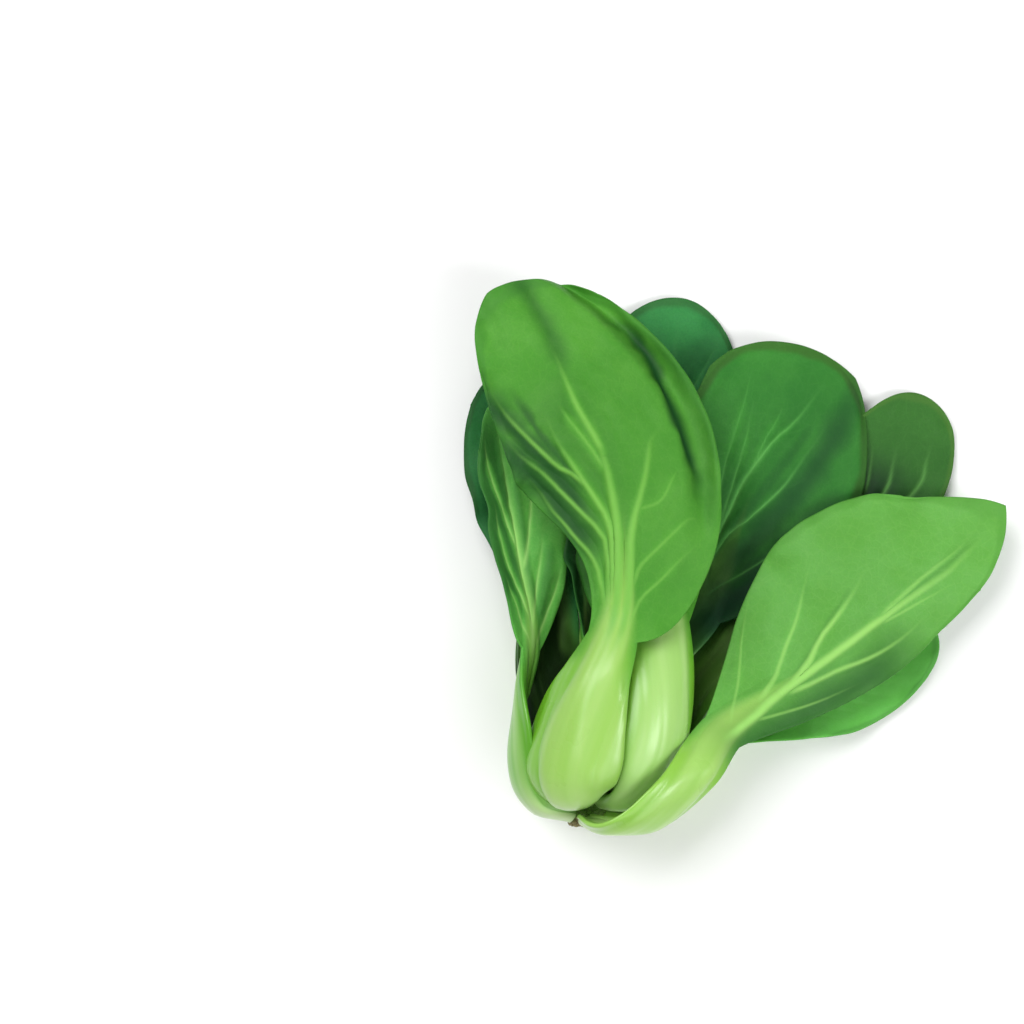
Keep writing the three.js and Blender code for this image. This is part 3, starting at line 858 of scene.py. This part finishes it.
front_finish = leaf_finish(
    "front leaf green",
    outer=(78, 147, 46), inner=(48, 122, 38), shade=(60, 132, 34), painted_shade=(16, 66, 24),
    edge=(60, 126, 40), wing=(106, 173, 38), rib=(146, 192, 86), root=(180, 212, 136), vein=(112, 174, 70),
)
inner_finish = leaf_finish(
    "inner leaf green",
    outer=(76, 150, 38), inner=(48, 122, 38), shade=(60, 134, 30), painted_shade=(8, 50, 16),
    edge=(60, 130, 36), wing=(114, 178, 44), rib=(152, 199, 104), root=(190, 220, 150), vein=(112, 178, 66),
)
low_finish = leaf_finish(
    "low leaf green",
    outer=(97, 164, 72), inner=(100, 178, 72), shade=(86, 154, 54), painted_shade=(30, 84, 30),
    edge=(80, 146, 52), wing=(130, 186, 60), rib=(150, 197, 94), root=(182, 216, 132), vein=(144, 200, 100),
)
under_finish = leaf_finish(
    "under leaf green",
    outer=(96, 168, 60), inner=(104, 190, 84), shade=(92, 180, 66), painted_shade=(34, 96, 34),
    edge=(80, 150, 64), wing=(142, 198, 66), rib=(164, 212, 100), root=(186, 222, 132), vein=(112, 186, 88),
)
side_finish = leaf_finish(
    "side leaf green",
    outer=(72, 144, 42), inner=(92, 170, 68), shade=(70, 150, 52), painted_shade=(18, 78, 30),
    edge=(88, 160, 60), wing=(92, 162, 38), rib=(104, 172, 50), root=(196, 220, 160), vein=(150, 202, 108),
)
# The right back leaf's edge colour is partly the olive of its rolled-back rim and partly painted shade under
# the roll.
back_finish = leaf_finish(
    "right back leaf green",
    outer=(60, 126, 40), inner=(54, 130, 42), shade=(38, 110, 36), painted_shade=(8, 54, 26),
    edge=(58, 92, 32), wing=(100, 166, 46), rib=(124, 184, 70), root=(184, 220, 132), vein=(90, 164, 76),
    rough=0.66, hollow=0.7,
)
dark_finish = leaf_finish(
    "dark leaf green",
    outer=(44, 106, 40), inner=(50, 134, 66), shade=(32, 98, 50), painted_shade=(5, 26, 14),
    edge=(40, 86, 36), wing=(96, 160, 50), rib=(122, 182, 72), root=(170, 206, 120), vein=(76, 144, 74),
    rough=0.66, hollow=0.95,
)
olive_finish = leaf_finish(
    "olive leaf green",
    outer=(58, 112, 36), inner=(50, 106, 36), shade=(38, 88, 30), painted_shade=(14, 50, 18),
    edge=(70, 114, 42), wing=(104, 168, 46), rib=(130, 186, 74), root=(184, 220, 132), vein=(84, 140, 66),
    rough=0.66, hollow=0.7,
)
# The young leaves' inner, shade and fold greens are very dark: painted shade for leaves deep inside the head.
young_finish = leaf_finish(
    "young leaf green",
    outer=(64, 132, 38), inner=(24, 76, 30), shade=(30, 86, 28), painted_shade=(8, 40, 16),
    edge=(44, 104, 34), wing=(96, 158, 44), rib=(130, 184, 72), root=(186, 220, 136), vein=(70, 130, 52),
    hollow=0.8,
)
print("leaf finishes:", [m.name for m in bpy.data.materials])

# %% [markdown]
# ## What the leaves have in common
#
# The leaves of one head are alike, so each is given as what sets it apart from a plain leaf.
#
# - stalk and blade: the points of the midrib.
# - turn: the way the outer side faces at the root, belly, neck, middle of the blade and tip.
# - stalk_half: the widths of the stalk's left and right halves. thick: its thickness.
# - hug: how closely the halves follow the bulb. tuck: how deep the stalk's end bends into the stem, and from
#   where. bend and fold: how the blade's halves curl and close.
# - half, shoulder, widest, square, point: the blade's outline. ruffle and crease: its large waves.
# - rib and rib_height: how much of the stalk the pale rib takes, and how far it stands out.
# - veins: their widths and points, or none for a plain fan. forks: how strong their side branches are.
# - pleat, pleat_width and the pleat shade share: how the blade sinks between the veins, and how much shade
#   is painted there.
# - taper: how far up the blade starts to narrow to its point.
# - folds: lines of their own, with width, depth, the share of painted shade, and points; some have no
#   depth and are only bands of painted shade. light_top: where the pleats and their painted shade fade out.
# - roll: how far the rim rolls back. uneven, rim_wave, seed: small swellings. step: between vertices.

# %% A plain leaf and a young one
def evenly(*widths):
    return [list(widths), list(widths)]


PLAIN = dict(
    stalk_half=evenly(7, 14.5, 19, 16, 12, 9),
    thick=[5, 6.5, 8, 7, 5.5, 4],
    hug=(1, 1),
    tuck=(0.5, 9),
    shoulder=(0.8, 0.8),
    widest=0.5,
    bend=[15, 12, 10],
    fold=[0, 0, 0],
    ruffle=(1.5, 5, 0),
    square=0.5,
    point=0,
    crease=(0.8, 0, 0.2),
    rib=(0.62, 0.62),
    rib_height=0.7,
    veins=None,
    pleat=(0.7, 0.7),
    pleat_width=5.0,
    pleat_shade=(0.35, 0.35),
    taper=0.3,
    forks=0.2,
    folds=[],
    light_top=(70, 110),
    roll=0,
    uneven=1.0,
    rim_wave=0.8,
    seed=1,
    step=1.1,
)
YOUNG = {
    **PLAIN,
    **dict(
        stalk_half=evenly(5, 9, 12, 11, 9, 6.5),
        thick=[3.5, 4.5, 5, 4.5, 3.5, 2.6],
        bend=[30, 30, 20],
        ruffle=(1, 5, 0),
        point=2,
        uneven=0.6,
        pleat=(0.4, 0.4),
        step=1.3,
    ),
}

# %% [markdown]
# ## The front leaf
#
# It lies on top, outer side up, with its broad stalk over the middle of the bulb. A wide pale rib runs up
# the stalk and splits into two strong veins. To the left a fan of veins stands out with valleys between
# them, and beside the right rim the blade folds into a long valley. The valleys and folds carry painted
# shade.

# %% The front leaf's veins and folds
FRONT_VEINS = [
    (1.5, [(-8, -1.5), (13, -1.4), (27, -2.3), (35, -2.5), (50, -3.4), (63, -3.5), (74, -3), (84, 0.9)]),
    (1.3, [(-8, 2.4), (13, 2.4), (27, 2.1), (35, 2.2), (45, 4.9), (59, 11.1), (65, 14.6), (69, 23.5)]),
    (1.0, [(66, -3.3), (76, -3.8), (86, -3.6), (97, -1.2), (110, 3)]),
    (0.6, [(60, -4.5), (71, -6.8), (83, -8.6), (93, -8.4)]),
    (
        1.1,
        [(12, -3.0), (34, -4.6), (43, -6.4), (50, -9.4), (59, -12.9), (69, -15.1), (80, -15.8), (96, -13.6)],
    ),
    (0.9, [(54, -11), (62, -16), (67, -19.5), (80, -23.1), (94, -25.3), (103, -25.3), (114, -23.2)]),
    (
        0.9,
        [
            (12, -4.2), (33, -6.7), (43, -13.3), (50, -18.2),
            (58, -22.6), (71, -26.8), (82, -30.2), (96, -31.3),
        ],
    ),
    (
        0.8,
        [(10, -5.4), (22, -8.6), (29, -12.6), (35, -17.7), (42, -22), (48, -25.6), (58, -29.2), (78, -33.6)],
    ),
    (0.5, [(44, 4.9), (46, 13), (52, 18.2), (56, 22.4)]),
    (0.6, [(18, 3.6), (25, 5.6), (31, 11.2), (36, 17), (40, 23.2), (37, 29)]),
    (0.6, [(4, 3.8), (14, 6.8), (21, 13), (28, 19.5), (36, 29)]),
]
# Each fold darkens its line with painted shade. The wide ones on the left sink little and are mostly painted
# shade, and the band with no depth by the right rim is painted shade only.
FRONT_FOLDS = [
    (
        2.3, 1.2, 1.0,
        [
            (112, 17), (100, 27), (92, 28.3), (84, 28.3), (75, 26.6),
            (66, 25.7), (58, 26.9), (50, 28.1), (32, 27),
        ],
    ),
    (3.4, 0.8, 0.5, [(142, 12.5), (130, 10.5), (118, 7), (106, 3), (92, -2)]),
    (5.5, 0.4, 0.9, [(124, -26), (110, -28), (96, -27), (78, -24.5), (60, -20.5), (44, -14), (22, -7)]),
    (6.5, 0.3, 0.9, [(108, -33), (84, -32), (64, -29), (48, -22.5), (34, -15), (16, -9)]),
    (5.0, 0, 0.3, [(106, 32), (84, 34), (66, 33), (48, 31), (26, 30)]),
    (2.2, 0.5, 0.75, [(112, -19), (96, -19.5), (82, -19.8), (68, -17.4), (58, -15.2), (42, -9)]),
    (1.5, 0.5, 0.8, [(100, -29), (84, -28), (70, -24.6), (58, -20.4), (48, -15.6), (30, -7)]),
    (1.5, 0.5, 0.8, [(82, -32), (64, -29), (50, -23.4), (40, -17.6), (22, -8)]),
]
print(len(FRONT_VEINS), "veins and", len(FRONT_FOLDS), "folds")

# %% Front leaf
front_leaf = {
    **PLAIN,
    **dict(
        stalk=[*bowl(-26, -0.3, 3.5, -14), (-5, 48, 54), (1, 63, 51)],
        blade=[
            (4, 80, 48.5),
            (4.5, 105, 48),
            (0, 128, 47),
            (-11.5, 149, 44),
            (-27, 167.5, 40),
            (-43, 182, 35.5),
        ],
        turn=[-16, -26, -10, 0, -3],
        stalk_half=[[7, 15.5, 21.5, 19.5, 14, 9.5], [10.5, 16.5, 18.5, 15.5, 11.5, 8.5]],
        hug=(0.85, 1),
        half=(35.5, 37),
        shoulder=(3, 0.35),
        widest=0.48,
        bend=[22, 22, 15],
        ruffle=(0.8, 5, 100),
        point=2,
        crease=(0.8, 5, 0.2),
        rib=(0.42, 1.15),
        rib_height=0.8,
        veins=FRONT_VEINS,
        folds=FRONT_FOLDS,
        light_top=(84, 112),
        pleat=(0.8, 0.3),
        pleat_shade=(0.3, 0.1),
        forks=0,
        seed=10,
        step=0.56,
    ),
}
grow("front_leaf", front_leaf, front_finish)

# %% [markdown]
# ## The leaf behind it
#
# The second outer leaf covers the right of the bulb. Its stalk is the smoothest part of the head and
# catches the brightest light. Its blade goes up behind the front leaf, and only a strip of it shows.

# %% Inner front leaf
inner_front_leaf = {
    **PLAIN,
    **dict(
        stalk=[*bowl(50, 0.1, 0.2), (21.5, 48, 44), (20, 68, 38)],
        blade=[(17, 95, 35), (12, 125, 32), (5, 150, 29), (-3, 174, 26)],
        turn=[50, 50, 25, 8, 0],
        stalk_half=[[6, 13.5, 19, 18, 15, 11], [7, 12.5, 16, 14.5, 11, 9]],
        hug=(1.15, 1),
        half=(24, 24),
        bend=[20, 20, 10],
        ruffle=(1.5, 5, 100),
        rib=(0.85, 0.3),
        rib_height=0.4,
        seed=20,
        step=0.8,
    ),
}
grow("inner_front_leaf", inner_front_leaf, inner_finish)

# %% [markdown]
# ## The dark leaves behind
#
# These leaves grow from the back of the bulb, so their blades show their inner side. It is a darker green
# than the outer side, with the veins as fine pale lines.

# %% Veins of the leaves at the back
RIGHT_BACK_VEINS = [
    (1.0, [(20, 5.6), (38, 4.8), (49, 3.6), (58, 0.8), (66, -2.7), (72, -7.4), (82, -13.5), (90, -18)]),
    (0.9, [(14, 4), (28, 2.3), (35, -1.7), (41, -4.8), (47, -8.2), (54, -11.6), (64, -15.2), (80, -22.5)]),
    (0.6, [(8, 0.5), (26, 6), (50, 7.2), (59, 7.6), (70, 7.8), (84, 8)]),
    (0.5, [(36, 5), (53, 2.8), (65, 0.8), (74, -2.2), (84, -4)]),
    (0.5, [(22, 6), (44, 11), (62, 12.3), (80, 10.8), (90, 10)]),
    (0.5, [(2, 1), (18, 12), (34, 21), (52, 26)]),
    (0.6, [(6, -1), (18, -8), (31, -17), (44, -26)]),
]
FAR_RIGHT_VEINS = [
    (1.1, [(-8, 0), (40, -0.5), (70, -2.5), (82, -2.5), (89, 0), (100, 2.4)]),
    (1.0, [(50, -1), (74, -9), (88, -12), (95, -10.2), (104, -9)]),
    (0.8, [(52, 0), (72, 2), (84, 6.3), (94, 10.7)]),
]
print(len(RIGHT_BACK_VEINS), "and", len(FAR_RIGHT_VEINS), "veins")

# %% Leaves at the back
right_back_leaf = {
    **PLAIN,
    **dict(
        stalk=[*bowl(150, 1), (15, 52, 13), (31, 72, 11.5)],
        blade=[(42, 92, 9.5), (52, 118, 8.5), (58, 142, 11.2), (61, 166, 14)],
        turn=[150, 150, 165, 185, 190],
        stalk_half=[[6, 12, 15, 14.5, 13, 10.5], [6, 12, 15, 13.5, 11, 8]],
        thick=[4.5, 5.5, 6.5, 6, 5, 4],
        half=(37, 32),
        widest=0.55,
        bend=[18, 14, 15],
        square=0.42,
        veins=RIGHT_BACK_VEINS,
        forks=0.1,
        # Painted shade: the wide folds darken the side of the blade that lies in the shadow of the low leaf,
        # and the band with no depth darkens a strip beside the midrib.
        folds=[
            (11.0, 0.3, 1.0, [(-30, -4), (0, -8), (22, -18), (40, -29), (62, -38)]),
            (6.5, 0.5, 0.75, [(-10, 0), (20, -4), (38, -10), (54, -17), (76, -25), (104, -34)]),
            (3.0, 0.5, 0.5, [(10, 4.6), (34, 0.6), (50, -4.5), (64, -10.6), (86, -19)]),
            (8.0, 0, 0.3, [(-30, 8), (10, 10), (36, 10), (64, 6)]),
        ],
        pleat=(0.6, 0.5),
        pleat_shade=(0.25, 0.2),
        roll=2.2,
        seed=30,
        step=0.62,
    ),
}
top_back_leaf = {
    **PLAIN,
    **dict(
        stalk=[*bowl(186, 0), (2, 50, 3.4), (8, 75, 2.4)],
        blade=[(14, 100, 1.2), (19, 130, 0.6), (23, 158, 1), (25, 182, 3.5)],
        turn=[186, 186, 184, 182, 182],
        stalk_half=[[7, 12, 15, 14, 11.5, 9], [5.8, 11.8, 15.5, 14.5, 11.5, 9]],
        half=(26, 31),
        widest=0.6,
        bend=[12, 6, 6],
        forks=0.2,
        ruffle=(1, 5, 60),
        seed=40,
        step=0.8,
    ),
}
far_right_leaf = {
    **PLAIN,
    **dict(
        stalk=[*bowl(115, 0), (33, 43, 14.5), (43, 56, 10)],
        blade=[(61, 77, 7), (81, 97, 4), (97, 117, 3), (106, 134, 3), (110, 148, 4)],
        turn=[115, 122, 160, 180, 183],
        stalk_half=[[6, 10, 12, 11, 10, 9], [6.4, 11.6, 14.2, 14, 12.5, 11.5]],
        half=(22, 22),
        shoulder=(0.8, 0.5),
        widest=0.7,
        ruffle=(0.4, 5, 20),
        veins=FAR_RIGHT_VEINS,
        forks=0,
        folds=[(15.0, 0, 1.0, [(20, 0), (46, 0), (70, 0), (100, 0)])],
        seed=50,
        step=0.7,
    ),
}
back_left_leaf = {
    **PLAIN,
    **dict(
        stalk=[*bowl(247, 0.78, 1.2), (-22.5, 50, 17), (-23, 72, 14)],
        hug=(1, -0.4),
        blade=[(-23, 95, 10.5), (-27, 118, 9), (-31, 140, 7.5), (-34, 158, 7)],
        turn=[247, 240, 203, 186, 182],
        stalk_half=[[6.5, 11, 13.5, 14.5, 14, 12.5], [6.5, 11.5, 15, 15, 12, 9]],
        half=(24, 24),
        widest=0.55,
        ruffle=(1.5, 5, 120),
        seed=60,
        step=0.9,
    ),
}
grow("right_back_leaf", right_back_leaf, back_finish)
grow("top_back_leaf", top_back_leaf, dark_finish)
grow("far_right_leaf", far_right_leaf, olive_finish)
grow("back_left_leaf", back_left_leaf, dark_finish)

# %% [markdown]
# ## The leaves low on the right
#
# One pale leaf leaves the bulb at the cut, swings out to the right and ends in a point. Its outer side is
# up, and its midrib carries it like a spine. Another leaf lies under it and shows its rim.

# %% The low leaf's veins
LOW_VEINS = [
    (1.4, [(-8, 1.5), (10, 3), (23, 1.6), (35, 1.3), (61, 0.7), (74, 1.6), (96, 2.1), (110, 1), (124, 0.8)]),
    (0.6, [(70, 0.4), (84, -0.8), (94, -1.9), (106, -2.2), (124, -2.6)]),
    (1.0, [(16, 1.6), (29, 1.6), (40, -1.5), (49, -6.5), (57, -8.8), (63, -10.4), (71, -12.9), (84, -19)]),
    (0.7, [(18, -1), (28, -4.4), (38, -11.5), (46, -17), (54, -23.6), (70, -34)]),
    (0.8, [(28, 3), (37, 4.8), (48, 6.3), (57, 8.8), (66, 10.6), (76, 11), (90, 9)]),
    (0.5, [(70, 2.6), (82, 4.6), (102, 6.4)]),
    (0.5, [(4, -1), (16, -10), (27, -22), (38, -34)]),
    (0.5, [(12, 4), (24, 8), (38, 12), (54, 15)]),
]
print(len(LOW_VEINS), "veins")

# %% Leaves low on the right
low_right_leaf = {
    **PLAIN,
    **dict(
        stalk=[(-7, -1, 39), (3, -4, 44.5), (12, -1.5, 48), (21.5, 6.5, 49), (30.5, 17, 46), (39.5, 29, 37)],
        blade=[(61, 45, 27), (84, 61, 24), (103, 76, 21), (124, 91, 17.5), (140, 108, 14)],
        turn=[30, 38, 15, 5, 0],
        stalk_half=[[12.5, 13.5, 12.5, 10.5, 9.5, 8.5], [4, 8.5, 10.5, 9.5, 8.5, 7.5]],
        thick=[3.5, 5, 5.5, 5.5, 5, 4],
        hug=(0.6, 0.6),
        tuck=(0.35, 6),
        half=(43.5, 19.5),
        shoulder=(1.35, 1.1),
        widest=0.49,
        bend=[12, 12, 10],
        ruffle=(1.2, 5, 80),
        point=7,
        veins=LOW_VEINS,
        taper=0.8,
        forks=0,
        folds=[
            (1.0, 0.2, 0.25, [(78, 0.8), (90, 0.1), (102, -0.5), (116, -0.6)]),
            (1.4, 0.2, 0.3, [(26, 0.2), (40, -3), (52, -8.6), (64, -12.4), (74, -16)]),
            # Painted shade: this wide band with no depth darkens the half of the blade below the midrib.
            (10.0, 0, 0.85, [(-20, 8), (6, 10), (30, 13), (56, 15), (90, 13)]),
            (1.2, 0.2, 0.3, [(26, 4.2), (40, 7), (56, 10.6), (70, 13)]),
        ],
        pleat=(0.3, 0.3),
        pleat_shade=(0.12, 0.12),
        seed=70,
        step=0.62,
    ),
}
under_right_leaf = {
    **PLAIN,
    **dict(
        stalk=[(2, -1, 27), (12, -3, 22), (22, 3, 16), (32, 15, 11), (42, 28, 8)],
        blade=[(58, 40, 6), (76, 48, 4), (93, 55, 3), (108, 63, 3), (114, 68, 3)],
        turn=[100, 120, 160, 180, 180],
        stalk_half=evenly(6, 9, 10, 9, 8, 7),
        thick=[7, 7.5, 6.5, 5.5, 5, 4],
        half=(23, 23),
        shoulder=(0.7, 0.7),
        ruffle=(1, 5, 20),
        folds=[(2.4, 0.3, 0.35, [(24, -12), (38, -10.6), (50, -8.8), (66, -8.2)])],
        pleat=(0.15, 0.15),
        pleat_shade=(0.05, 0.05),
        forks=0,
        seed=80,
        step=0.7,
    ),
}
grow("low_right_leaf", low_right_leaf, low_finish)
grow("under_right_leaf", under_right_leaf, under_finish)

# %% [markdown]
# ## The leaf at the left
#
# Its narrow stalk runs up the side of the bulb, and its blade is folded along the midrib like a book.

# %% The left leaf's veins
LEFT_VEINS = [
    (1.9, [(-10, 0), (15, 0), (38, -0.2), (55, -0.2), (84, 0)]),
    (0.9, [(4, -0.5), (10, -1.2), (21, -4.4), (32, -8), (44, -11)]),
    (0.8, [(0, -1), (11, -7), (21, -12), (30, -15)]),
    (0.8, [(26, -0.6), (40, -5), (54, -8.5), (68, -10)]),
    (0.8, [(8, 0.5), (24, 5), (40, 8.5), (56, 10)]),
    (0.8, [(34, 0.4), (50, 4.5), (66, 7), (78, 7)]),
    (0.7, [(0, 0.5), (14, 7), (28, 12)]),
]
print(len(LEFT_VEINS), "veins")

# %% Left leaf
left_leaf = {
    **PLAIN,
    **dict(
        stalk=[
            (-17, -0.5, 33.5),
            (-24.5, 2.7, 35),
            (-29.7, 9.7, 35.5),
            (-31.8, 20, 35),
            (-31.8, 31, 34),
            (-30.2, 44, 32),
            (-28, 58, 30),
        ],
        blade=[(-29.6, 75, 28), (-33, 95, 25), (-37, 118, 24), (-41, 145, 25)],
        turn=[300, 290, 232, 209, 206],
        stalk_half=[[7, 9, 9.5, 8, 6, 5], [6.4, 8.2, 9.4, 10, 7.8, 5.4]],
        thick=[3.5, 4.5, 5, 4.5, 4.5, 3.5],
        half=(19, 14.5),
        shoulder=(0.8, 0.35),
        bend=[10, 10, 10],
        fold=[10, 20, 10],
        ruffle=(1, 5, 0),
        point=4,
        veins=LEFT_VEINS,
        folds=[
            (2.0, 0.6, 0.5, [(6, -3), (16, -6), (28, -10), (40, -13)]),
            (1.2, 0.5, 0.5, [(2, -1.8), (20, -2.4), (40, -3.2), (60, -3.6), (76, -3)]),
        ],
        pleat=(0.7, 0.3),
        pleat_shade=(0.15, 0.75),
        forks=0,
        seed=90,
        step=0.6,
    ),
}
grow("left_leaf", left_leaf, side_finish)

# %% [markdown]
# ## The young leaves inside
#
# Between the outer stalks the next leaves are on their way up. They are small and still curled, bright on
# their outer side, and their inner side is painted with shade.

# %% Heart leaves
heart_leaf_1 = {
    **YOUNG,
    **dict(
        stalk=[*bowl(10, 1.3, 3), (3.4, 50, 43), (5.4, 64, 38.2)],
        blade=[(5.4, 82, 32.5), (3.4, 102, 27.5), (1.4, 118, 24)],
        turn=[10, 10, 5, 0, 0],
        half=(17, 14),
        seed=100,
    ),
}
heart_leaf_2 = {
    **YOUNG,
    **dict(
        stalk=[*bowl(285, 1.7, 1), (-8, 50, 29), (-8, 64, 26)],
        blade=[(-5.5, 82, 20.5), (-4, 99, 16.5), (-3, 115, 14.5)],
        turn=[285, 280, 240, 205, 195],
        half=(14, 14),
        seed=110,
    ),
}
heart_leaf_3 = {
    **YOUNG,
    **dict(
        stalk=[*bowl(90, 2), (11, 52, 26), (13, 62, 24)],
        blade=[(15.5, 76, 19.5), (17.5, 90, 16.5), (18.5, 102, 15)],
        turn=[85, 85, 95, 130, 150],
        stalk_half=evenly(4, 6, 8, 8, 6.5, 5),
        thick=[3, 3.5, 4, 3.5, 3, 2.2],
        half=(10, 10),
        bend=[35, 35, 20],
        ruffle=(0.5, 5, 0),
        seed=120,
    ),
}
grow("heart_leaf_1", heart_leaf_1, young_finish)
grow("heart_leaf_2", heart_leaf_2, young_finish)
grow("heart_leaf_3", heart_leaf_3, young_finish)

# %% [markdown]
# ## The short stem and its cut
#
# All the leaves grow from a stem the size of a finger's end. It was cut through with a knife, and the cut
# has dried brown. The stem is round, so half of its outline is drawn as a few vertices and spun round the
# axis. Then its skin and its cut are made uneven, and a mask keeps the cracked brown to the cut.

# %% Stem finish
def stem_finish():
    material = bpy.data.materials.new("dried cut")
    material.use_nodes = True
    tree = material.node_tree
    shader = tree.nodes["Principled BSDF"]
    tone = placed(tree, mottle, Size=240.0)
    where = add(tree, "TexCoord").outputs["Object"]
    cracks = add(tree, "TexVoronoi", {"Vector": where, "Scale": 420.0}, feature="DISTANCE_TO_EDGE")
    dark = steps(tree, cracks.outputs["Distance"], 0.12, 0.0)
    skin = blend(tree, tone.outputs["Areas"], colour(146, 138, 88), colour(96, 92, 50))
    skin = blend(tree, times(tree, dark, 0.6), skin, colour(62, 52, 28))
    skin = blend(tree, mask(tree, "dried"), colour(96, 132, 52), skin)
    tree.links.new(skin, shader.inputs["Base Color"])
    shader.inputs["Roughness"].default_value = 0.8
    height = plus(tree, tone.outputs["Specks"], times(tree, dark, -1.5))
    bump = add(tree, "Bump", {"Strength": 0.7, "Distance": 0.4 * MM, "Height": height})
    tree.links.new(bump.outputs["Normal"], shader.inputs["Normal"])
    return material


STEM_OUTLINE = (
    (0, -3.6), (2.4, -3.9), (4.5, -4), (5.4, -3.4), (6.5, -1.2), (7.1, 1.5),
    (7.2, 5), (6.4, 8), (5.4, 12), (3.8, 17), (0, 21),
)


def make_stem():
    nothing_selected()
    bpy.ops.mesh.primitive_plane_add(size=1)
    stem = bpy.context.object
    stem.name = "fine_crown"
    shape = bmesh.new()
    outline = along_outline(STEM_OUTLINE)
    row = [shape.verts.new(tuple((ORIGIN + (CROWN_X + r, y, BULB_HEIGHT)) * MM)) for r, y in outline]
    for start, end in zip(row, row[1:]):
        shape.edges.new((start, end))
    shape.to_mesh(stem.data)
    shape.free()
    bpy.ops.object.mode_set(mode="EDIT")
    bpy.ops.mesh.select_all(action="SELECT")
    centre = tuple((ORIGIN + (CROWN_X, 0, BULB_HEIGHT)) * MM)
    bpy.ops.mesh.spin(steps=72, angle=2 * math.pi, center=centre, axis=(0, 1, 0))
    bpy.ops.mesh.select_all(action="SELECT")
    bpy.ops.mesh.remove_doubles(threshold=0.01 * MM)
    bpy.ops.mesh.normals_make_consistent(inside=False)
    bpy.ops.object.mode_set(mode="OBJECT")
    return stem


def along_outline(points):
    p = np.array(points, float)
    share = np.linspace(0, 1, 60)
    return np.stack([along(p[:, 0], share).clip(0), along(p[:, 1], share)], axis=-1)


def roughen_stem(stem):
    """Leans the stem with the bulb's axis, and makes its skin and its cut uneven."""
    co = np.empty(len(stem.data.vertices) * 3, np.float32)
    stem.data.vertices.foreach_get("co", co)
    p = co.reshape(-1, 3) / MM - ORIGIN
    x, y, z = p[:, 0] - CROWN_X, p[:, 1].copy(), p[:, 2] - BULB_HEIGHT
    radius = np.hypot(x, z)
    angle = np.arctan2(x, z)
    bumps = 0.25 * swelling(130, 6 * np.cos(angle), 6 * np.sin(angle) + y, 2, 7)
    radius_new = radius * (1 + 0.03 * np.sin(5 * angle + 1)) + bumps * smooth(radius, 1, 5)
    cut = smooth(-y, 2.5, 3.5)
    shift = axis_at(y)[0] - CROWN_X
    p[:, 0] = CROWN_X + shift + radius_new * np.sin(angle)
    p[:, 2] = BULB_HEIGHT + radius_new * np.cos(angle)
    p[:, 1] = y + cut * (0.3 * swelling(131, x, z, 1.5, 5) + 0.3)
    stem.data.vertices.foreach_set("co", ((p + ORIGIN) * MM).astype(np.float32).ravel())
    write_mask(stem.data, "dried", 1 - smooth(y + 0.8 * swelling(132, 4 * angle, y, 2, 6), -2.5, 0))
    stem.data.update()


crown = make_stem()
roughen_stem(crown)
bpy.ops.object.shade_smooth()
crown.data.materials.append(stem_finish())
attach(crown, "root")
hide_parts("crown")
print(crown.name, len(crown.data.polygons), "faces")

# %% [markdown]
# ## The table, the light and the camera
#
# The head lies on a plain white table. A large soft light stands high at the upper left, as a window
# would, and a larger one opens the shadows from the right. A small low one at the right lays a sheen on
# the smooth stalks. The gaps between the leaves stay dark, because the light can't reach into them, and
# because painted shade darkens the stalks' inner sides and the folds there.

# %% Table
FLOOR_SIZE = 4.0
nothing_selected()
bpy.ops.mesh.primitive_plane_add(size=FLOOR_SIZE, location=(0, 0, -0.02 * MM))
table = bpy.context.object
table.name = "table"
white = bpy.data.materials.new("white table")
white.use_nodes = True
white_shader = white.node_tree.nodes["Principled BSDF"]
white_shader.inputs["Base Color"].default_value = colour(250, 250, 250)
white_shader.inputs["Roughness"].default_value = 0.6
table.data.materials.append(white)


# %% Lights
def soft_light(name, place, aim, size, power):
    """A square area light at a place, aimed at a point, in metres and watts."""
    nothing_selected()
    way = Vector(aim) - Vector(place)
    bpy.ops.object.light_add(type="AREA", location=place, rotation=way.to_track_quat("-Z", "Y").to_euler())
    light = bpy.context.object
    light.name = name
    light.data.size = size
    light.data.energy = power
    return light


HEAD = (0.0, 0.0, 0.02)
soft_light("window", (-0.5, 0.5, 1.1), HEAD, 0.9, 15)
soft_light("fill", (0.6, -0.7, 1.1), HEAD, 1.2, 8)
soft_light("sheen", (0.73, -0.22, 0.82), HEAD, 0.36, 4)

world = bpy.data.worlds.new("studio")
bpy.context.scene.world = world
world.use_nodes = True
world.node_tree.nodes["Background"].inputs["Color"].default_value = (1, 1, 1, 1)
world.node_tree.nodes["Background"].inputs["Strength"].default_value = 0.25
bpy.context.scene.view_settings.view_transform = "Standard"

# %% [markdown]
# The camera looks straight down from two metres. That far away, the leaves on top of the bulb are hardly
# enlarged against the table. Its lens and place are worked out for a picture 1024 pixels wide, in which
# each pixel shows 0.35 mm and the head lies in the right half, as in the photograph; the size of the
# picture itself is not set here.

# %% Camera
PICTURE = 1024
MM_PER_PIXEL = 0.35
STEM_PIXEL = (610, 815)
CAMERA_HEIGHT = 2.0
FOCUS_HEIGHT = 0.03
SENSOR = 36

aside = (PICTURE / 2 - STEM_PIXEL[0]) * MM_PER_PIXEL
ahead = (STEM_PIXEL[1] - PICTURE / 2) * MM_PER_PIXEL
place = (ORIGIN + (aside, ahead, 0)) * MM
nothing_selected()
bpy.ops.object.camera_add(location=(place[0], place[1], CAMERA_HEIGHT), rotation=(0, 0, 0))
camera = bpy.context.object
camera.data.sensor_width = SENSOR
camera.data.lens = SENSOR * (CAMERA_HEIGHT - FOCUS_HEIGHT) / (PICTURE * MM_PER_PIXEL * MM)
bpy.context.scene.camera = camera
print("lens:", round(camera.data.lens), "mm")
